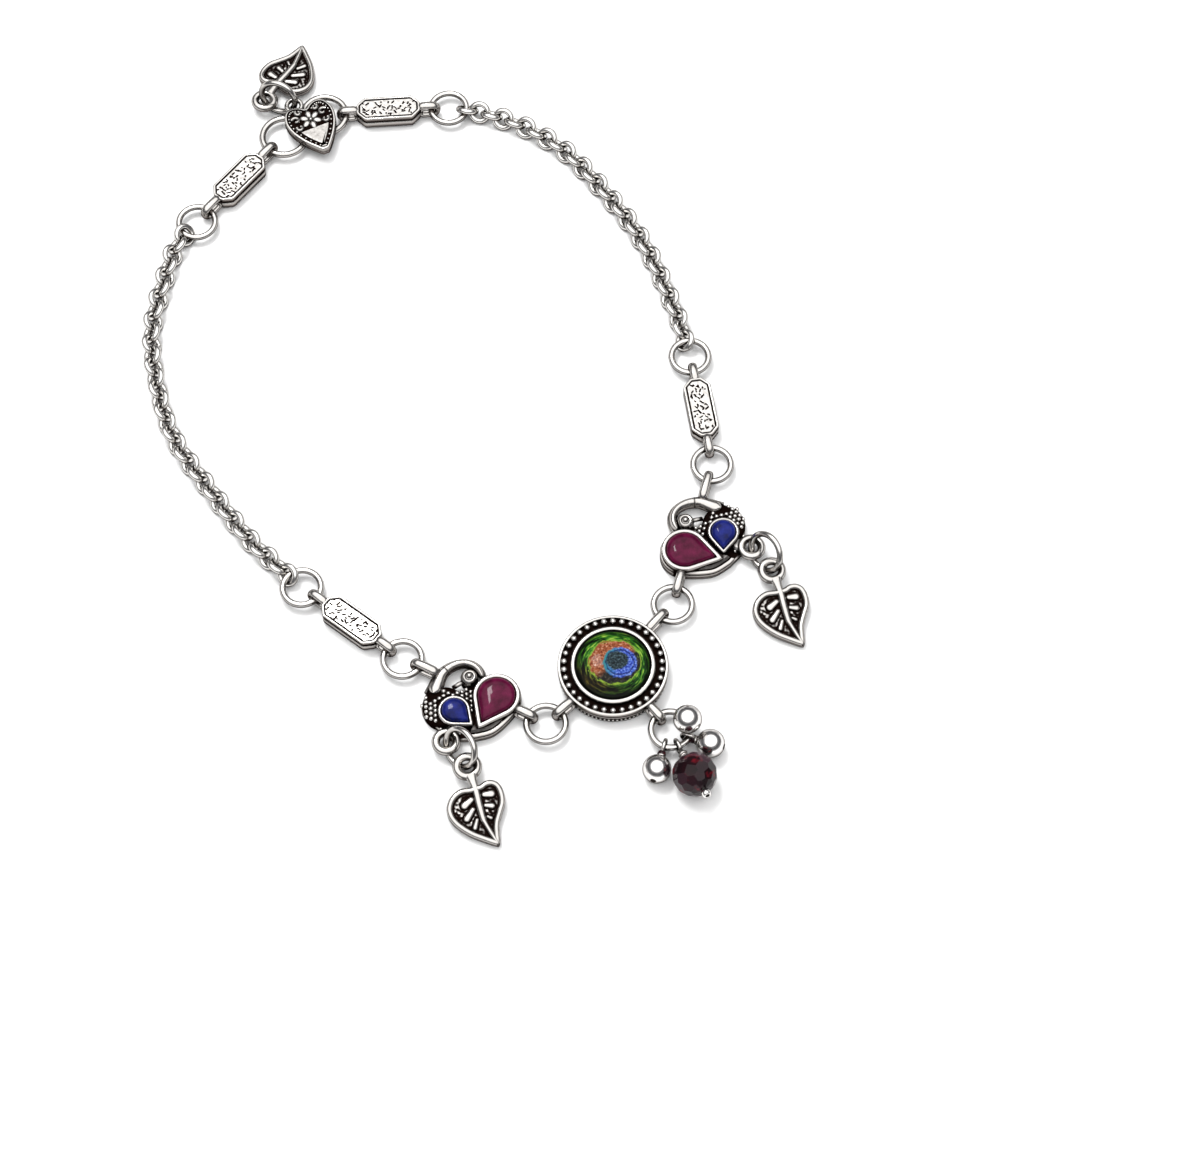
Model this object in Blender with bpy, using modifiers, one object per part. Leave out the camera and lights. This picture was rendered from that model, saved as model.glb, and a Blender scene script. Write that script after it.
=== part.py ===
"""Payal anklet: rolo chain, chased bars, peacock settings, feather medallion, drops and a heart clasp.

It lies fastened on a flat surface. The origin is the middle of the medallion's underside, +Z is up,
and all lengths are metres.
"""
import math

import bmesh
import bpy
from mathutils import Matrix, Vector

MM = 0.001

# Jump rings, round wire
RING_OUTER = 6.1 * MM
RING_WIRE = 0.82 * MM
RING_SIDES = 12
WIRE_SIDES = 5

# Rolo chain: round links, their planes turned one way and the other about the strand
LINK_OUTER = 3.3 * MM
LINK_WIRE = 0.76 * MM
LINK_BITE = 0.07 * MM
LINK_TURN = math.radians(45)
LINK_SIDES = 10
HOOK_GAP = 0.32 * MM
RISE_LENGTH = 7.0 * MM
ROUTE_STEPS = 40

# Cast loops that stand on edge at the ends of the settings
LOOP_HOLE = 1.15 * MM
LOOP_WIRE = 0.85 * MM
LOOP_SEAT_OUT = 0.65 * MM
LOOP_SIDES = 10

# Octagonal bars
BAR_LENGTH = 9.4 * MM
BAR_WIDTH = 3.9 * MM
BAR_THICK = 2.3 * MM
BAR_FLAT = 7.0 * MM
BAR_END_WIDTH = 1.5 * MM
BAR_RIM = 0.34 * MM
BAR_SINK = 0.3 * MM
BAR_GROOVE = 0.16 * MM
BAR_FLOOR_GAP = 0.25 * MM
BAR_SLOPE = 0.1 * MM
BAR_GROOVE_LOW = 1.4 * MM
BAR_GROOVE_HIGH = 1.72 * MM

# Medallion
MEDALLION_RADIUS = 7.5 * MM
MEDALLION_THICK = 2.7 * MM
MEDALLION_NECK = 0.3 * MM
RIM_WALL = 0.4 * MM
BEZEL_RADIUS = 5.75 * MM
BEZEL_WALL = 0.6 * MM
BEZEL_RISE = 0.25 * MM
CHANNEL_SINK = 0.55 * MM
CUP_DEPTH = 1.4 * MM
DOME_RISE = 0.95 * MM
DOME_STEPS = 3
STONE_GAP = 0.08 * MM
COLLAR_LOW = 2.1 * MM
WAIST_HIGH = 1.95 * MM
WAIST_LOW = 0.27 * MM
TURNED_SIDES = 22

# Peacock settings, in their own frame: +X to the medallion, -Y to the leaf drop
PEACOCK_FLOOR = 1.25 * MM
PLATE_THICK = 1.12 * MM
MAGENTA_PLACE = (3.3 * MM, 0.33 * MM)
MAGENTA_RADIUS = 2.6 * MM
MAGENTA_TIP = 4.5 * MM
MAGENTA_WALL = 0.6 * MM
MAGENTA_HEIGHT = 2.85 * MM
MAGENTA_TURN = math.radians(-90)
BLUE_PLACE = (-0.82 * MM, -4.13 * MM)
BLUE_RADIUS = 1.73 * MM
BLUE_TIP = 2.75 * MM
BLUE_WALL = 0.45 * MM
BLUE_HEIGHT = 2.75 * MM
BLUE_TURN = math.radians(-14)
PEAR_RISE = 0.6 * MM
PEAR_STEP = 0.33 * MM
PEAR_SLOPE = 0.25
PEAR_TABLE = 0.45
PEAR_SIDES = 10
HEAD_PLACE = (-1.4 * MM, 1.4 * MM)
HEAD_RADIUS = 1.2 * MM
HEAD_HEIGHT = 2.2 * MM
HEAD_SLOPE = 0.4 * MM
STUD_RADIUS = 0.48 * MM
NECK_REACH = 5.8 * MM
NECK_HEIGHT = 2.35 * MM
NECK_SLOPE = 0.2 * MM
BREAST_PLACE = (-2.47 * MM, -3.83 * MM)
BREAST_RADIUS = 3.0 * MM
BREAST_HEIGHT = 2.0 * MM
BREAST_SLOPE = 0.6 * MM
PLATE_REACH = 6.9 * MM
DROP_LOOP_PLACE = (0.15 * MM, -8.35 * MM)

# Flat lying loops that carry a jump ring: on the peacocks and at the top of the leaves
EYE_OUTER = 3.7 * MM
EYE_WIRE = 0.9 * MM
EYE_HEIGHT = 1.7 * MM

# Leaf drops
LEAF_LENGTH = 11.8 * MM
LEAF_WIDTH = 8.1 * MM
LEAF_THICK = 1.3 * MM
LEAF_RIM = 0.55 * MM
LEAF_SINK = 0.55 * MM
RIB_WIDTH = 0.75 * MM
RIB_SLOPE = 0.15 * MM

# Bead cluster
BALL_DIAMETER = 3.9 * MM
GARNET_DIAMETER = 6.0 * MM
GARNET_HOLE = 0.85 * MM
DROP_EYE_HOLE = 1.25 * MM
DROP_EYE_WIRE = 0.55 * MM
PIN_DIAMETER = 0.62 * MM
PIN_HEAD = 1.4 * MM
BEAD_SIDES = 10

# Clasp: two wire rings side by side, closed by a heart plate soldered on top
HOOK_OUTER = 7.4 * MM
HOOK_WIRE = 0.95 * MM
HOOK_SPREAD = 6.9 * MM
HOOK_SIDES = 14
HEART_WIDTH = 7.5 * MM
HEART_LENGTH = 8.8 * MM
HEART_THICK = 1.5 * MM
HEART_SEAT = 0.14 * MM
HEART_SLOPE = 0.12 * MM
HEART_RIM = 0.4 * MM
HEART_SINK = 0.25 * MM
HEART_PLACE = (0.8 * MM, -1.75 * MM)
HEART_TURN = math.radians(-8)
HEART_EYE_PLACE = (0.3 * MM, 3.3 * MM)
HEART_EYE_OUTER = 2.9 * MM
HEART_EYE_WIRE = 0.7 * MM

# Heights that pieces share
LINE_HEIGHT = LOOP_HOLE / 2 + LOOP_WIRE
RING_RADIUS = (RING_OUTER - RING_WIRE) / 2
LOOP_RADIUS = (LOOP_HOLE + LOOP_WIRE) / 2
LINK_RADIUS = (LINK_OUTER - LINK_WIRE) / 2
EYE_RADIUS = (EYE_OUTER - EYE_WIRE) / 2

# Where the pieces lie, chosen by hand: middles of the jump rings, in millimetres
RING_PLACES = {
    "ring_bar_top_left": (-60.4, 71.7),
    "ring_chain_left": (-42.6, 12.3),
    "ring_bar_left": (-28.5, 1.5),
    "ring_medallion_left": (-9.0, -8.1),
    "ring_medallion_right": (8.2, 9.7),
    "ring_bar_right": (13.9, 31.5),
    "ring_chain_right": (11.05, 49.0),
    "ring_bar_top_right": (-24.2, 91.8),
    "ring_cluster": (7.7, -8.95),
}
CLASP_PLACE = (-45.5, 88.6)
CLASP_TURN = math.radians(33.3)

# Routes of the two strands between their rings, chosen by hand, in millimetres
CHAIN_ROUTES = {
    "chain_left": [
        (-62.6, 68.6), (-64.1, 64.2), (-65.8, 53.5), (-64.3, 43.6),
        (-61.4, 35.5), (-56.0, 27.5), (-50.1, 19.7), (-45.3, 14.9),
    ],
    "chain_right": [
        (10.1, 52.7), (9.0, 56.8), (5.5, 66.2), (1.2, 73.9),
        (-6.2, 83.5), (-12.1, 88.0), (-16.6, 90.1), (-20.7, 91.3),
    ],
}

# Leaf drops: the way from the eye it hangs on to its own eye in degrees, that way's length in
# millimetres, the way its tip points and how steeply its ring leans, both in degrees
LEAF_PLACES = {
    "leaf_left": (-51.5, 4.6, -68.0, 58.0),
    "leaf_right": (-52.5, 4.5, -69.5, 62.0),
    "leaf_clasp": (163.0, 4.7, 64.0, 104.0),
}
# Beads of the cluster: place on the ring in degrees, the bead's middle in millimetres, and how high
# that middle lies as a share of the bead's diameter
BALL_PLACES = {
    "ball_lower": (-110.0, (5.8, -14.9), 0.5),
    "ball_outer": (-27.0, (13.0, -11.2), 0.5),
    "ball_upper": (16.0, (9.9, -8.7), 1.1),
}
GARNET_PLACE = (-68.0, (10.8, -16.1), 0.5)

# Shares of the leaf's length and width, from the notch round the large lobe to the tip and back
LEAF_OUTLINE = [
    (0.255, -0.08), (0.232, -0.26), (0.276, -0.44), (0.373, -0.565), (0.477, -0.598), (0.578, -0.570),
    (0.683, -0.49), (0.792, -0.368), (0.886, -0.222), (0.975, -0.07), (1.0, 0.0), (0.955, 0.045),
    (0.872, 0.081), (0.765, 0.138), (0.662, 0.245), (0.558, 0.353), (0.437, 0.398), (0.325, 0.379),
    (0.258, 0.289), (0.243, 0.166), (0.262, 0.07),
]
# The middle rib: share of the length, of the width, and its own width as a share of the rib's width
LEAF_RIB = [(0.12, 0.0, 1.3), (0.30, -0.035, 1.1), (0.48, -0.09, 1.0), (0.64, -0.11, 0.85),
            (0.82, -0.08, 0.75), (0.95, -0.02, 0.6)]
# Base plate of the peacock: shares of its reach, anticlockwise round the piece
PLATE_OUTLINE = [
    (0.93, 0.145), (0.87, 0.33), (0.71, 0.48), (0.48, 0.545), (0.23, 0.48), (0.04, 0.33), (-0.13, 0.09),
    (-0.26, -0.19), (-0.43, -0.26), (-0.64, -0.30), (-0.82, -0.39), (-0.77, -0.74), (-0.59, -0.92),
    (-0.28, -1.0), (-0.10, -1.05), (0.14, -1.05), (0.39, -0.93), (0.52, -0.85), (0.77, -0.60), (0.92, -0.15),
]
# Neck of the peacock: shares of the neck's reach, along, across and half its width there
NECK_SECTIONS = [(-0.80, -0.50, 0.19), (-0.84, -0.18, 0.16), (-0.85, 0.06, 0.135), (-0.75, 0.31, 0.115),
                 (-0.56, 0.50, 0.10), (-0.33, 0.56, 0.10), (-0.12, 0.50, 0.09), (0.03, 0.38, 0.07)]
# Heart plate: shares of its half width and of its length from the notch, the right half
HEART_HALF = [(0.0, 0.065), (0.22, 0.13), (0.5, 0.17), (0.78, 0.13), (0.96, 0.0), (1.0, -0.16),
              (0.9, -0.34), (0.68, -0.53), (0.4, -0.70), (0.15, -0.82)]

for old in list(bpy.data.objects):
    bpy.data.objects.remove(old)

parts = bpy.data.collections.new("payal_anklet")
cutters = bpy.data.collections.new("cutters")
bpy.context.scene.collection.children.link(parts)
bpy.context.scene.collection.children.link(cutters)


def make_material(name, colour, metallic, roughness):
    material = bpy.data.materials.new(name)
    material.use_nodes = True
    shader = material.node_tree.nodes["Principled BSDF"]
    shader.inputs["Base Color"].default_value = (*colour, 1.0)
    shader.inputs["Metallic"].default_value = metallic
    shader.inputs["Roughness"].default_value = roughness
    return material


MATERIALS = {
    "oxidised_silver": make_material("oxidised_silver", (0.62, 0.60, 0.58), 1.0, 0.28),
    "bright_silver": make_material("bright_silver", (0.80, 0.79, 0.77), 1.0, 0.16),
    "feather_glass": make_material("feather_glass", (0.05, 0.22, 0.12), 0.0, 0.08),
    "magenta_stone": make_material("magenta_stone", (0.17, 0.01, 0.07), 0.0, 0.14),
    "blue_stone": make_material("blue_stone", (0.02, 0.03, 0.32), 0.0, 0.16),
    "garnet": make_material("garnet", (0.05, 0.005, 0.01), 0.0, 0.06),
}


def add_object(name, bm, material=None, collection=None):
    """Turns a bmesh into a named object with its faces pointing out."""
    bmesh.ops.recalc_face_normals(bm, faces=bm.faces[:])
    mesh = bpy.data.meshes.new(name)
    bm.to_mesh(mesh)
    bm.free()
    obj = bpy.data.objects.new(name, mesh)
    (collection or parts).objects.link(obj)
    if material:
        mesh.materials.append(MATERIALS[material])
    return obj


def add_tool(name, bm):
    """A solid that is fused into or cut from a part, and then removed."""
    tool = add_object(name, bm, collection=cutters)
    tool.hide_render = True
    tool.display_type = 'WIRE'
    return tool


def fuse(name, base, additions, cuts, material, smooth_angle=35):
    """Unites the base with the additions, takes the cuts away and gives the part its mesh."""
    for operation, tools in (('UNION', additions), ('DIFFERENCE', cuts)):
        for tool in tools:
            modifier = base.modifiers.new(operation.lower(), 'BOOLEAN')
            modifier.operation = operation
            modifier.solver = 'EXACT'
            modifier.object = tool
    evaluated = base.evaluated_get(bpy.context.evaluated_depsgraph_get())
    mesh = bpy.data.meshes.new_from_object(evaluated)
    mesh.name = name
    part = bpy.data.objects.new(name, mesh)
    parts.objects.link(part)
    mesh.materials.clear()
    mesh.materials.append(MATERIALS[material])
    for spent in [base] + additions + cuts:
        bpy.data.objects.remove(spent)
    shade(part, smooth_angle)
    return part


def shade(part, smooth_angle=35):
    part.data.shade_smooth()
    part.data.set_sharp_from_angle(angle=math.radians(smooth_angle))


def place(part, at, turn=0.0):
    part.location = at
    part.rotation_euler = (0.0, 0.0, turn)
    return part


def flat(point, height=0.0):
    """A hand-picked place in millimetres as a point in metres."""
    return Vector((point[0] * MM, point[1] * MM, height))


def torus(radius, wire, sides, wire_sides=WIRE_SIDES):
    """A ring of round wire about Z, with a corner of the wire's section on its inside."""
    bm = bmesh.new()
    section = bmesh.ops.create_circle(bm, segments=wire_sides, radius=wire / 2)["verts"]
    stand = Matrix.Rotation(math.pi / 2, 3, 'X') @ Matrix.Rotation(math.pi / 2, 3, 'Z')
    bmesh.ops.rotate(bm, verts=section, cent=(0, 0, 0), matrix=stand)
    bmesh.ops.translate(bm, verts=section, vec=(radius, 0, 0))
    bmesh.ops.spin(bm, geom=bm.verts[:] + bm.edges[:], cent=(0, 0, 0), axis=(0, 0, 1),
                   angle=math.tau, steps=sides, use_merge=True)
    return bm


def merge_into(target, source, matrix=Matrix.Identity(4)):
    """Adds a moved copy of one bmesh to another."""
    mesh = bpy.data.meshes.new("moved")
    source.transform(matrix)
    source.to_mesh(mesh)
    source.free()
    target.from_mesh(mesh)
    bpy.data.meshes.remove(mesh)


def standing_loop(seat, hole):
    """A cast loop on edge, stretched from its seat in the body to the hole's outer end, both on X."""
    bm = torus(LOOP_RADIUS, LOOP_WIRE, LOOP_SIDES)
    bm.transform(Matrix.Rotation(math.pi / 2, 4, 'X'))
    stretch = (hole - seat) / 2
    for vert in bm.verts:
        if abs(vert.co.x) > LOOP_RADIUS / 100:
            vert.co.x += math.copysign(stretch, vert.co.x)
    bm.transform(Matrix.Translation(((seat + hole) / 2, 0, LINE_HEIGHT)))
    return bm


def offset_outline(points, inset):
    """Moves each edge of an anticlockwise outline inwards by the inset."""
    moved = []
    for index, point in enumerate(points):
        before = (point - points[index - 1]).normalized()
        after = (points[(index + 1) % len(points)] - point).normalized()
        normal = Vector((-before.y - after.y, before.x + after.x)).normalized()
        spread = max(normal.dot(Vector((-before.y, before.x))), 0.5)
        moved.append(point + normal * (inset / spread))
    return moved


def stacked(outline, levels):
    """A closed solid: the outline at each level's height, moved in by that level's inset."""
    bm = bmesh.new()
    order = bm.verts.layers.int.new("order")
    for index, point in enumerate(outline):
        bm.verts.new((point.x, point.y, 0))[order] = index
    top = bm.faces.new(bm.verts)
    for step, (height, inset) in enumerate(levels):
        if step:
            grown = bmesh.ops.extrude_face_region(bm, geom=[top])["geom"]
            if step > 1:
                bmesh.ops.delete(bm, geom=[top], context='FACES_ONLY')
            top = next(item for item in grown if isinstance(item, bmesh.types.BMFace))
        spots = offset_outline(outline, inset)
        for vert in top.verts:
            vert.co = (*spots[vert[order]], height)
    bm.verts.layers.int.remove(order)
    return bm


def ball(diameter, sides):
    bm = bmesh.new()
    bmesh.ops.create_uvsphere(bm, u_segments=sides, v_segments=sides // 2 + 1, radius=diameter / 2)
    return bm


def rod(start, end, diameter, sides=6):
    """A round rod between two points."""
    bm = bmesh.new()
    bmesh.ops.create_cone(bm, cap_ends=True, segments=sides, radius1=diameter / 2, radius2=diameter / 2,
                          depth=(end - start).length)
    turn = (end - start).to_track_quat('Z', 'Y').to_matrix().to_4x4()
    bm.transform(Matrix.Translation((start + end) / 2) @ turn)
    return bm


def turned(name, profile, material, collection=None):
    """A turned body from a profile that runs down its outer side, at +X."""
    bm = bmesh.new()
    verts = [bm.verts.new((radius, 0, height)) for radius, height in profile]
    for upper, lower in zip(verts, verts[1:]):
        bm.edges.new((upper, lower))
    mesh = bpy.data.meshes.new(name)
    bm.to_mesh(mesh)
    bm.free()
    obj = bpy.data.objects.new(name, mesh)
    (collection or parts).objects.link(obj)
    mesh.materials.append(MATERIALS[material])
    screw = obj.modifiers.new("turn", 'SCREW')
    screw.steps = TURNED_SIDES
    screw.render_steps = TURNED_SIDES
    screw.use_merge_vertices = True
    screw.merge_threshold = 1e-6
    return obj


def ring_wire_point(ring, toward):
    """Where a jump ring's wire is nearest to a point."""
    middle = flat(RING_PLACES[ring], LINE_HEIGHT)
    away = (toward - middle) * Vector((1, 1, 0))
    return middle + away.normalized() * RING_RADIUS


def make_jump_rings():
    for name, point in RING_PLACES.items():
        ring = add_object(name, torus(RING_RADIUS, RING_WIRE, RING_SIDES), "bright_silver")
        ring.location = flat(point, LINE_HEIGHT)
        shade(ring, 80)


def route_points(points):
    """Close-set points on a smooth curve through the given ones, and how far along each of them is."""
    dense = []
    for index in range(len(points) - 1):
        before = points[max(index - 1, 0)]
        start, end = points[index], points[index + 1]
        after = points[min(index + 2, len(points) - 1)]
        for step in range(ROUTE_STEPS):
            t = step / ROUTE_STEPS
            dense.append(0.5 * (2 * start + (end - before) * t
                                + (2 * before - 5 * start + 4 * end - after) * t ** 2
                                + (3 * start - before - 3 * end + after) * t ** 3))
    dense.append(points[-1])
    reach = [0.0]
    for start, end in zip(dense, dense[1:]):
        reach.append(reach[-1] + (end - start).length)
    return dense, reach


def point_at(dense, reach, distance):
    for index in range(1, len(reach)):
        if reach[index] >= distance:
            share = (distance - reach[index - 1]) / (reach[index] - reach[index - 1])
            return dense[index - 1].lerp(dense[index], share)
    return dense[-1]


def make_chain(name, first_ring, last_ring):
    """Links spaced along the route, every other one turned the other way, fused into one strand."""
    ends = [flat(RING_PLACES[first_ring]), flat(RING_PLACES[last_ring])]
    middle_points = [flat(point) for point in CHAIN_ROUTES[name]]
    dense, reach = route_points([ends[0]] + middle_points + [ends[1]])
    link_hole = LINK_OUTER / 2 - LINK_WIRE
    first = RING_RADIUS + link_hole - RING_WIRE / 2 - HOOK_GAP
    run = reach[-1] - 2 * first
    steps = int(run // (LINK_OUTER - 2 * LINK_WIRE + LINK_BITE))
    low_height = LINK_RADIUS * math.sin(LINK_TURN) + LINK_WIRE / 2
    strands = [bmesh.new(), bmesh.new()]
    for index in range(steps + 1):
        distance = first + run * index / steps
        here = point_at(dense, reach, distance)
        ahead = point_at(dense, reach, distance + LINK_WIRE) - point_at(dense, reach, distance - LINK_WIRE)
        nearest_end = min(distance, reach[-1] - distance) - first
        lift = max(0.0, 1.0 - nearest_end / RISE_LENGTH)
        here.z = low_height + (LINE_HEIGHT - low_height) * lift
        along = math.atan2(ahead.y, ahead.x)
        side = 1 if index % 2 else -1
        turn = Matrix.Rotation(along, 4, 'Z') @ Matrix.Rotation(side * LINK_TURN, 4, 'X')
        link = torus(LINK_RADIUS, LINK_WIRE, LINK_SIDES)
        merge_into(strands[index % 2], link, Matrix.Translation(here) @ turn)
    base = add_tool(name + "_even", strands[0])
    other = add_tool(name + "_odd", strands[1])
    fuse(name, base, [other], [], "bright_silver", 80)


def bar_outline():
    half_length, half_width = BAR_LENGTH / 2, BAR_WIDTH / 2
    half_flat, half_end = BAR_FLAT / 2, BAR_END_WIDTH / 2
    return [Vector(point) for point in (
        (half_length, -half_end), (half_length, half_end), (half_flat, half_width),
        (-half_flat, half_width), (-half_length, half_end), (-half_length, -half_end),
        (-half_flat, -half_width), (half_flat, -half_width))]


def make_bar(name, start, end):
    """A chased bar halfway between the two wires that its end loops hold."""
    middle = (start + end) / 2
    along = math.atan2(end.y - start.y, end.x - start.x)
    hole = (end - start).length / 2
    bottom, top = BAR_FLOOR_GAP, BAR_FLOOR_GAP + BAR_THICK
    body = stacked(bar_outline(), [
        (bottom, BAR_GROOVE), (bottom + BAR_GROOVE, 0), (BAR_GROOVE_LOW, 0), (BAR_GROOVE_LOW, BAR_GROOVE),
        (BAR_GROOVE_HIGH, BAR_GROOVE), (BAR_GROOVE_HIGH, 0), (top, 0), (top, BAR_RIM),
        (top - BAR_SINK, BAR_RIM + BAR_SLOPE)])
    loops = bmesh.new()
    for turn in (0, math.pi):
        seat = BAR_LENGTH / 2 + LOOP_SEAT_OUT
        merge_into(loops, standing_loop(seat, hole), Matrix.Rotation(turn, 4, 'Z'))
    tools = [add_tool(name + "_loops", loops)]
    part = fuse(name, add_tool(name + "_body", body), tools, [], "oxidised_silver")
    place(part, (middle.x, middle.y, 0), along)


def make_medallion():
    channel = MEDALLION_THICK - CHANNEL_SINK
    top = MEDALLION_THICK + BEZEL_RISE
    cup = BEZEL_RADIUS - BEZEL_WALL
    side = MEDALLION_RADIUS - MEDALLION_NECK
    profile = [
        (0, top - CUP_DEPTH), (cup, top - CUP_DEPTH), (cup, top),
        (BEZEL_RADIUS, top), (BEZEL_RADIUS, channel),
        (MEDALLION_RADIUS - RIM_WALL, channel), (MEDALLION_RADIUS - RIM_WALL, MEDALLION_THICK),
        (MEDALLION_RADIUS, MEDALLION_THICK), (MEDALLION_RADIUS, COLLAR_LOW),
        (side, WAIST_HIGH), (side, WAIST_LOW), (side - MEDALLION_NECK, 0), (0, 0)]
    base = turned("medallion_body", profile, "oxidised_silver", cutters)
    loops = bmesh.new()
    for ring in ("ring_medallion_left", "ring_medallion_right", "ring_cluster"):
        middle = flat(RING_PLACES[ring])
        turn = Matrix.Rotation(math.atan2(middle.y, middle.x), 4, 'Z')
        merge_into(loops, standing_loop(MEDALLION_RADIUS + LOOP_SEAT_OUT, middle.length - RING_RADIUS), turn)
    fuse("medallion_setting", base, [add_tool("medallion_loops", loops)], [], "oxidised_silver")
    edge = cup - STONE_GAP
    seat = top - CUP_DEPTH + STONE_GAP
    girdle = top - BEZEL_RISE
    dome = []
    for step in range(DOME_STEPS + 1):
        angle = math.pi / 2 * step / DOME_STEPS
        dome.append((edge * math.sin(angle), girdle + DOME_RISE * math.cos(angle)))
    stone = turned("medallion_stone", dome + [(edge, seat), (0, seat)], "feather_glass")
    shade(stone, 60)


def pear_outline(radius, tip, sides, grow=0.0):
    """A pear with its round end about the origin and its tip on +X, grown outwards on every side."""
    tip += grow * tip / radius
    radius += grow
    tangent = math.acos(radius / tip)
    points = []
    for index in range(sides + 1):
        angle = tangent + (math.tau - 2 * tangent) * index / sides
        points.append(Vector((math.cos(angle), math.sin(angle))) * radius)
    points.append(Vector((tip, 0)))
    return points


PEARS = {
    "magenta": (MAGENTA_RADIUS, MAGENTA_TIP, MAGENTA_WALL, MAGENTA_HEIGHT, MAGENTA_PLACE, MAGENTA_TURN),
    "blue": (BLUE_RADIUS, BLUE_TIP, BLUE_WALL, BLUE_HEIGHT, BLUE_PLACE, BLUE_TURN),
}


def pear_move(at, turn):
    return Matrix.Translation((at[0], at[1], 0)) @ Matrix.Rotation(turn, 4, 'Z')


def pear_stone(radius, tip, height):
    """A pear cabochon with a small flat table, standing just clear of its cup."""
    seat = PEACOCK_FLOOR + STONE_GAP
    return stacked(pear_outline(radius, tip, PEAR_SIDES, -STONE_GAP), [
        (seat, 0), (height, 0), (height + PEAR_STEP, radius * PEAR_SLOPE),
        (height + PEAR_RISE, radius * (1 - PEAR_TABLE))])


def neck_outline():
    """The curved neck: down its outer side and back up the inner one."""
    spine = [Vector((along, across)) * NECK_REACH for along, across, _ in NECK_SECTIONS]
    outer, inner = [], []
    for index, middle in enumerate(spine):
        ahead = spine[min(index + 1, len(spine) - 1)] - spine[max(index - 1, 0)]
        normal = Vector((-ahead.y, ahead.x)).normalized()
        half = NECK_SECTIONS[index][2] * NECK_REACH
        outer.append(middle + normal * half)
        inner.append(middle - normal * half)
    return inner + outer[::-1]


def round_outline(middle, radius, sides):
    angles = [math.tau * index / sides for index in range(sides)]
    return [Vector(middle) + Vector((math.cos(angle), math.sin(angle))) * radius for angle in angles]


def make_peacock(name, chain_ring, medallion_ring, hand):
    """One setting and its two stones; hand is 1 for the left piece and -1 for its mirror image."""
    start, end = flat(RING_PLACES[chain_ring]), flat(RING_PLACES[medallion_ring])
    middle = (start + end) / 2
    along = math.atan2(end.y - start.y, end.x - start.x)
    hole = (end - start).length / 2 - RING_RADIUS
    solids = []
    plate = [Vector(share) * PLATE_REACH for share in PLATE_OUTLINE]
    for label, outline, levels in (
            ("plate", plate, [(0, 0), (PLATE_THICK, 0)]),
            ("lug", round_outline((DROP_LOOP_PLACE[0], DROP_LOOP_PLACE[1] + EYE_OUTER / 2), EYE_WIRE, 8),
             [(0, 0), (EYE_HEIGHT + EYE_WIRE / 4, 0)]),
            ("breast", round_outline(BREAST_PLACE, BREAST_RADIUS, BEAD_SIDES),
             [(0, 0), (BREAST_HEIGHT - BREAST_SLOPE / 2, 0), (BREAST_HEIGHT, BREAST_SLOPE)]),
            ("neck", neck_outline(),
             [(0, 0), (NECK_HEIGHT - 2 * NECK_SLOPE, 0), (NECK_HEIGHT, NECK_SLOPE)]),
            ("head", round_outline(HEAD_PLACE, HEAD_RADIUS, BEAD_SIDES),
             [(0, 0), (HEAD_HEIGHT - HEAD_SLOPE, 0), (HEAD_HEIGHT, HEAD_SLOPE),
              (HEAD_HEIGHT, HEAD_RADIUS - STUD_RADIUS),
              (HEAD_HEIGHT + STUD_RADIUS, HEAD_RADIUS - STUD_RADIUS / 2)])):
        solids.append(add_tool(name + "_" + label, stacked(outline, levels)))
    pockets = []
    for label, (radius, tip, wall, height, at, turn) in PEARS.items():
        for part, grow, low, high, group in (("post", wall, 0, height, solids),
                                             ("pocket", 0, PEACOCK_FLOOR, height + wall, pockets)):
            shape = stacked(pear_outline(radius, tip, PEAR_SIDES, grow), [(low, 0), (high, 0)])
            shape.transform(pear_move(at, turn))
            group.append(add_tool("_".join((name, label, part)), shape))
    loops = bmesh.new()
    cup_end = MAGENTA_PLACE[0] + MAGENTA_RADIUS + MAGENTA_WALL
    merge_into(loops, standing_loop(cup_end + LOOP_SEAT_OUT, hole))
    merge_into(loops, standing_loop(NECK_REACH + LOOP_SEAT_OUT, hole), Matrix.Rotation(math.pi, 4, 'Z'))
    merge_into(loops, torus(EYE_RADIUS, EYE_WIRE, LOOP_SIDES),
               Matrix.Translation((*DROP_LOOP_PLACE, EYE_HEIGHT)))
    solids.append(add_tool(name + "_loops", loops))
    setting = fuse(name + "_setting", solids[0], solids[1:], pockets, "oxidised_silver")
    stones = []
    for label, (radius, tip, _, height, at, turn) in PEARS.items():
        bm = pear_stone(radius, tip, height)
        bm.transform(pear_move(at, turn))
        stones.append(add_object("_".join((name, label, "stone")), bm, label + "_stone"))
    for piece in [setting] + stones:
        if hand < 0:
            mirrored = bmesh.new()
            mirrored.from_mesh(piece.data)
            bmesh.ops.scale(mirrored, vec=(1, -1, 1), verts=mirrored.verts[:])
            bmesh.ops.reverse_faces(mirrored, faces=mirrored.faces[:])
            mirrored.to_mesh(piece.data)
            mirrored.free()
        place(piece, (middle.x, middle.y, 0), along)
        shade(piece, 40)
    drop = Vector((DROP_LOOP_PLACE[0], DROP_LOOP_PLACE[1] * hand, EYE_HEIGHT))
    return Matrix.Translation(middle) @ Matrix.Rotation(along, 4, 'Z') @ drop


def leaf_point(along, across):
    return Vector((along * LEAF_LENGTH, across * LEAF_WIDTH))


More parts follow.
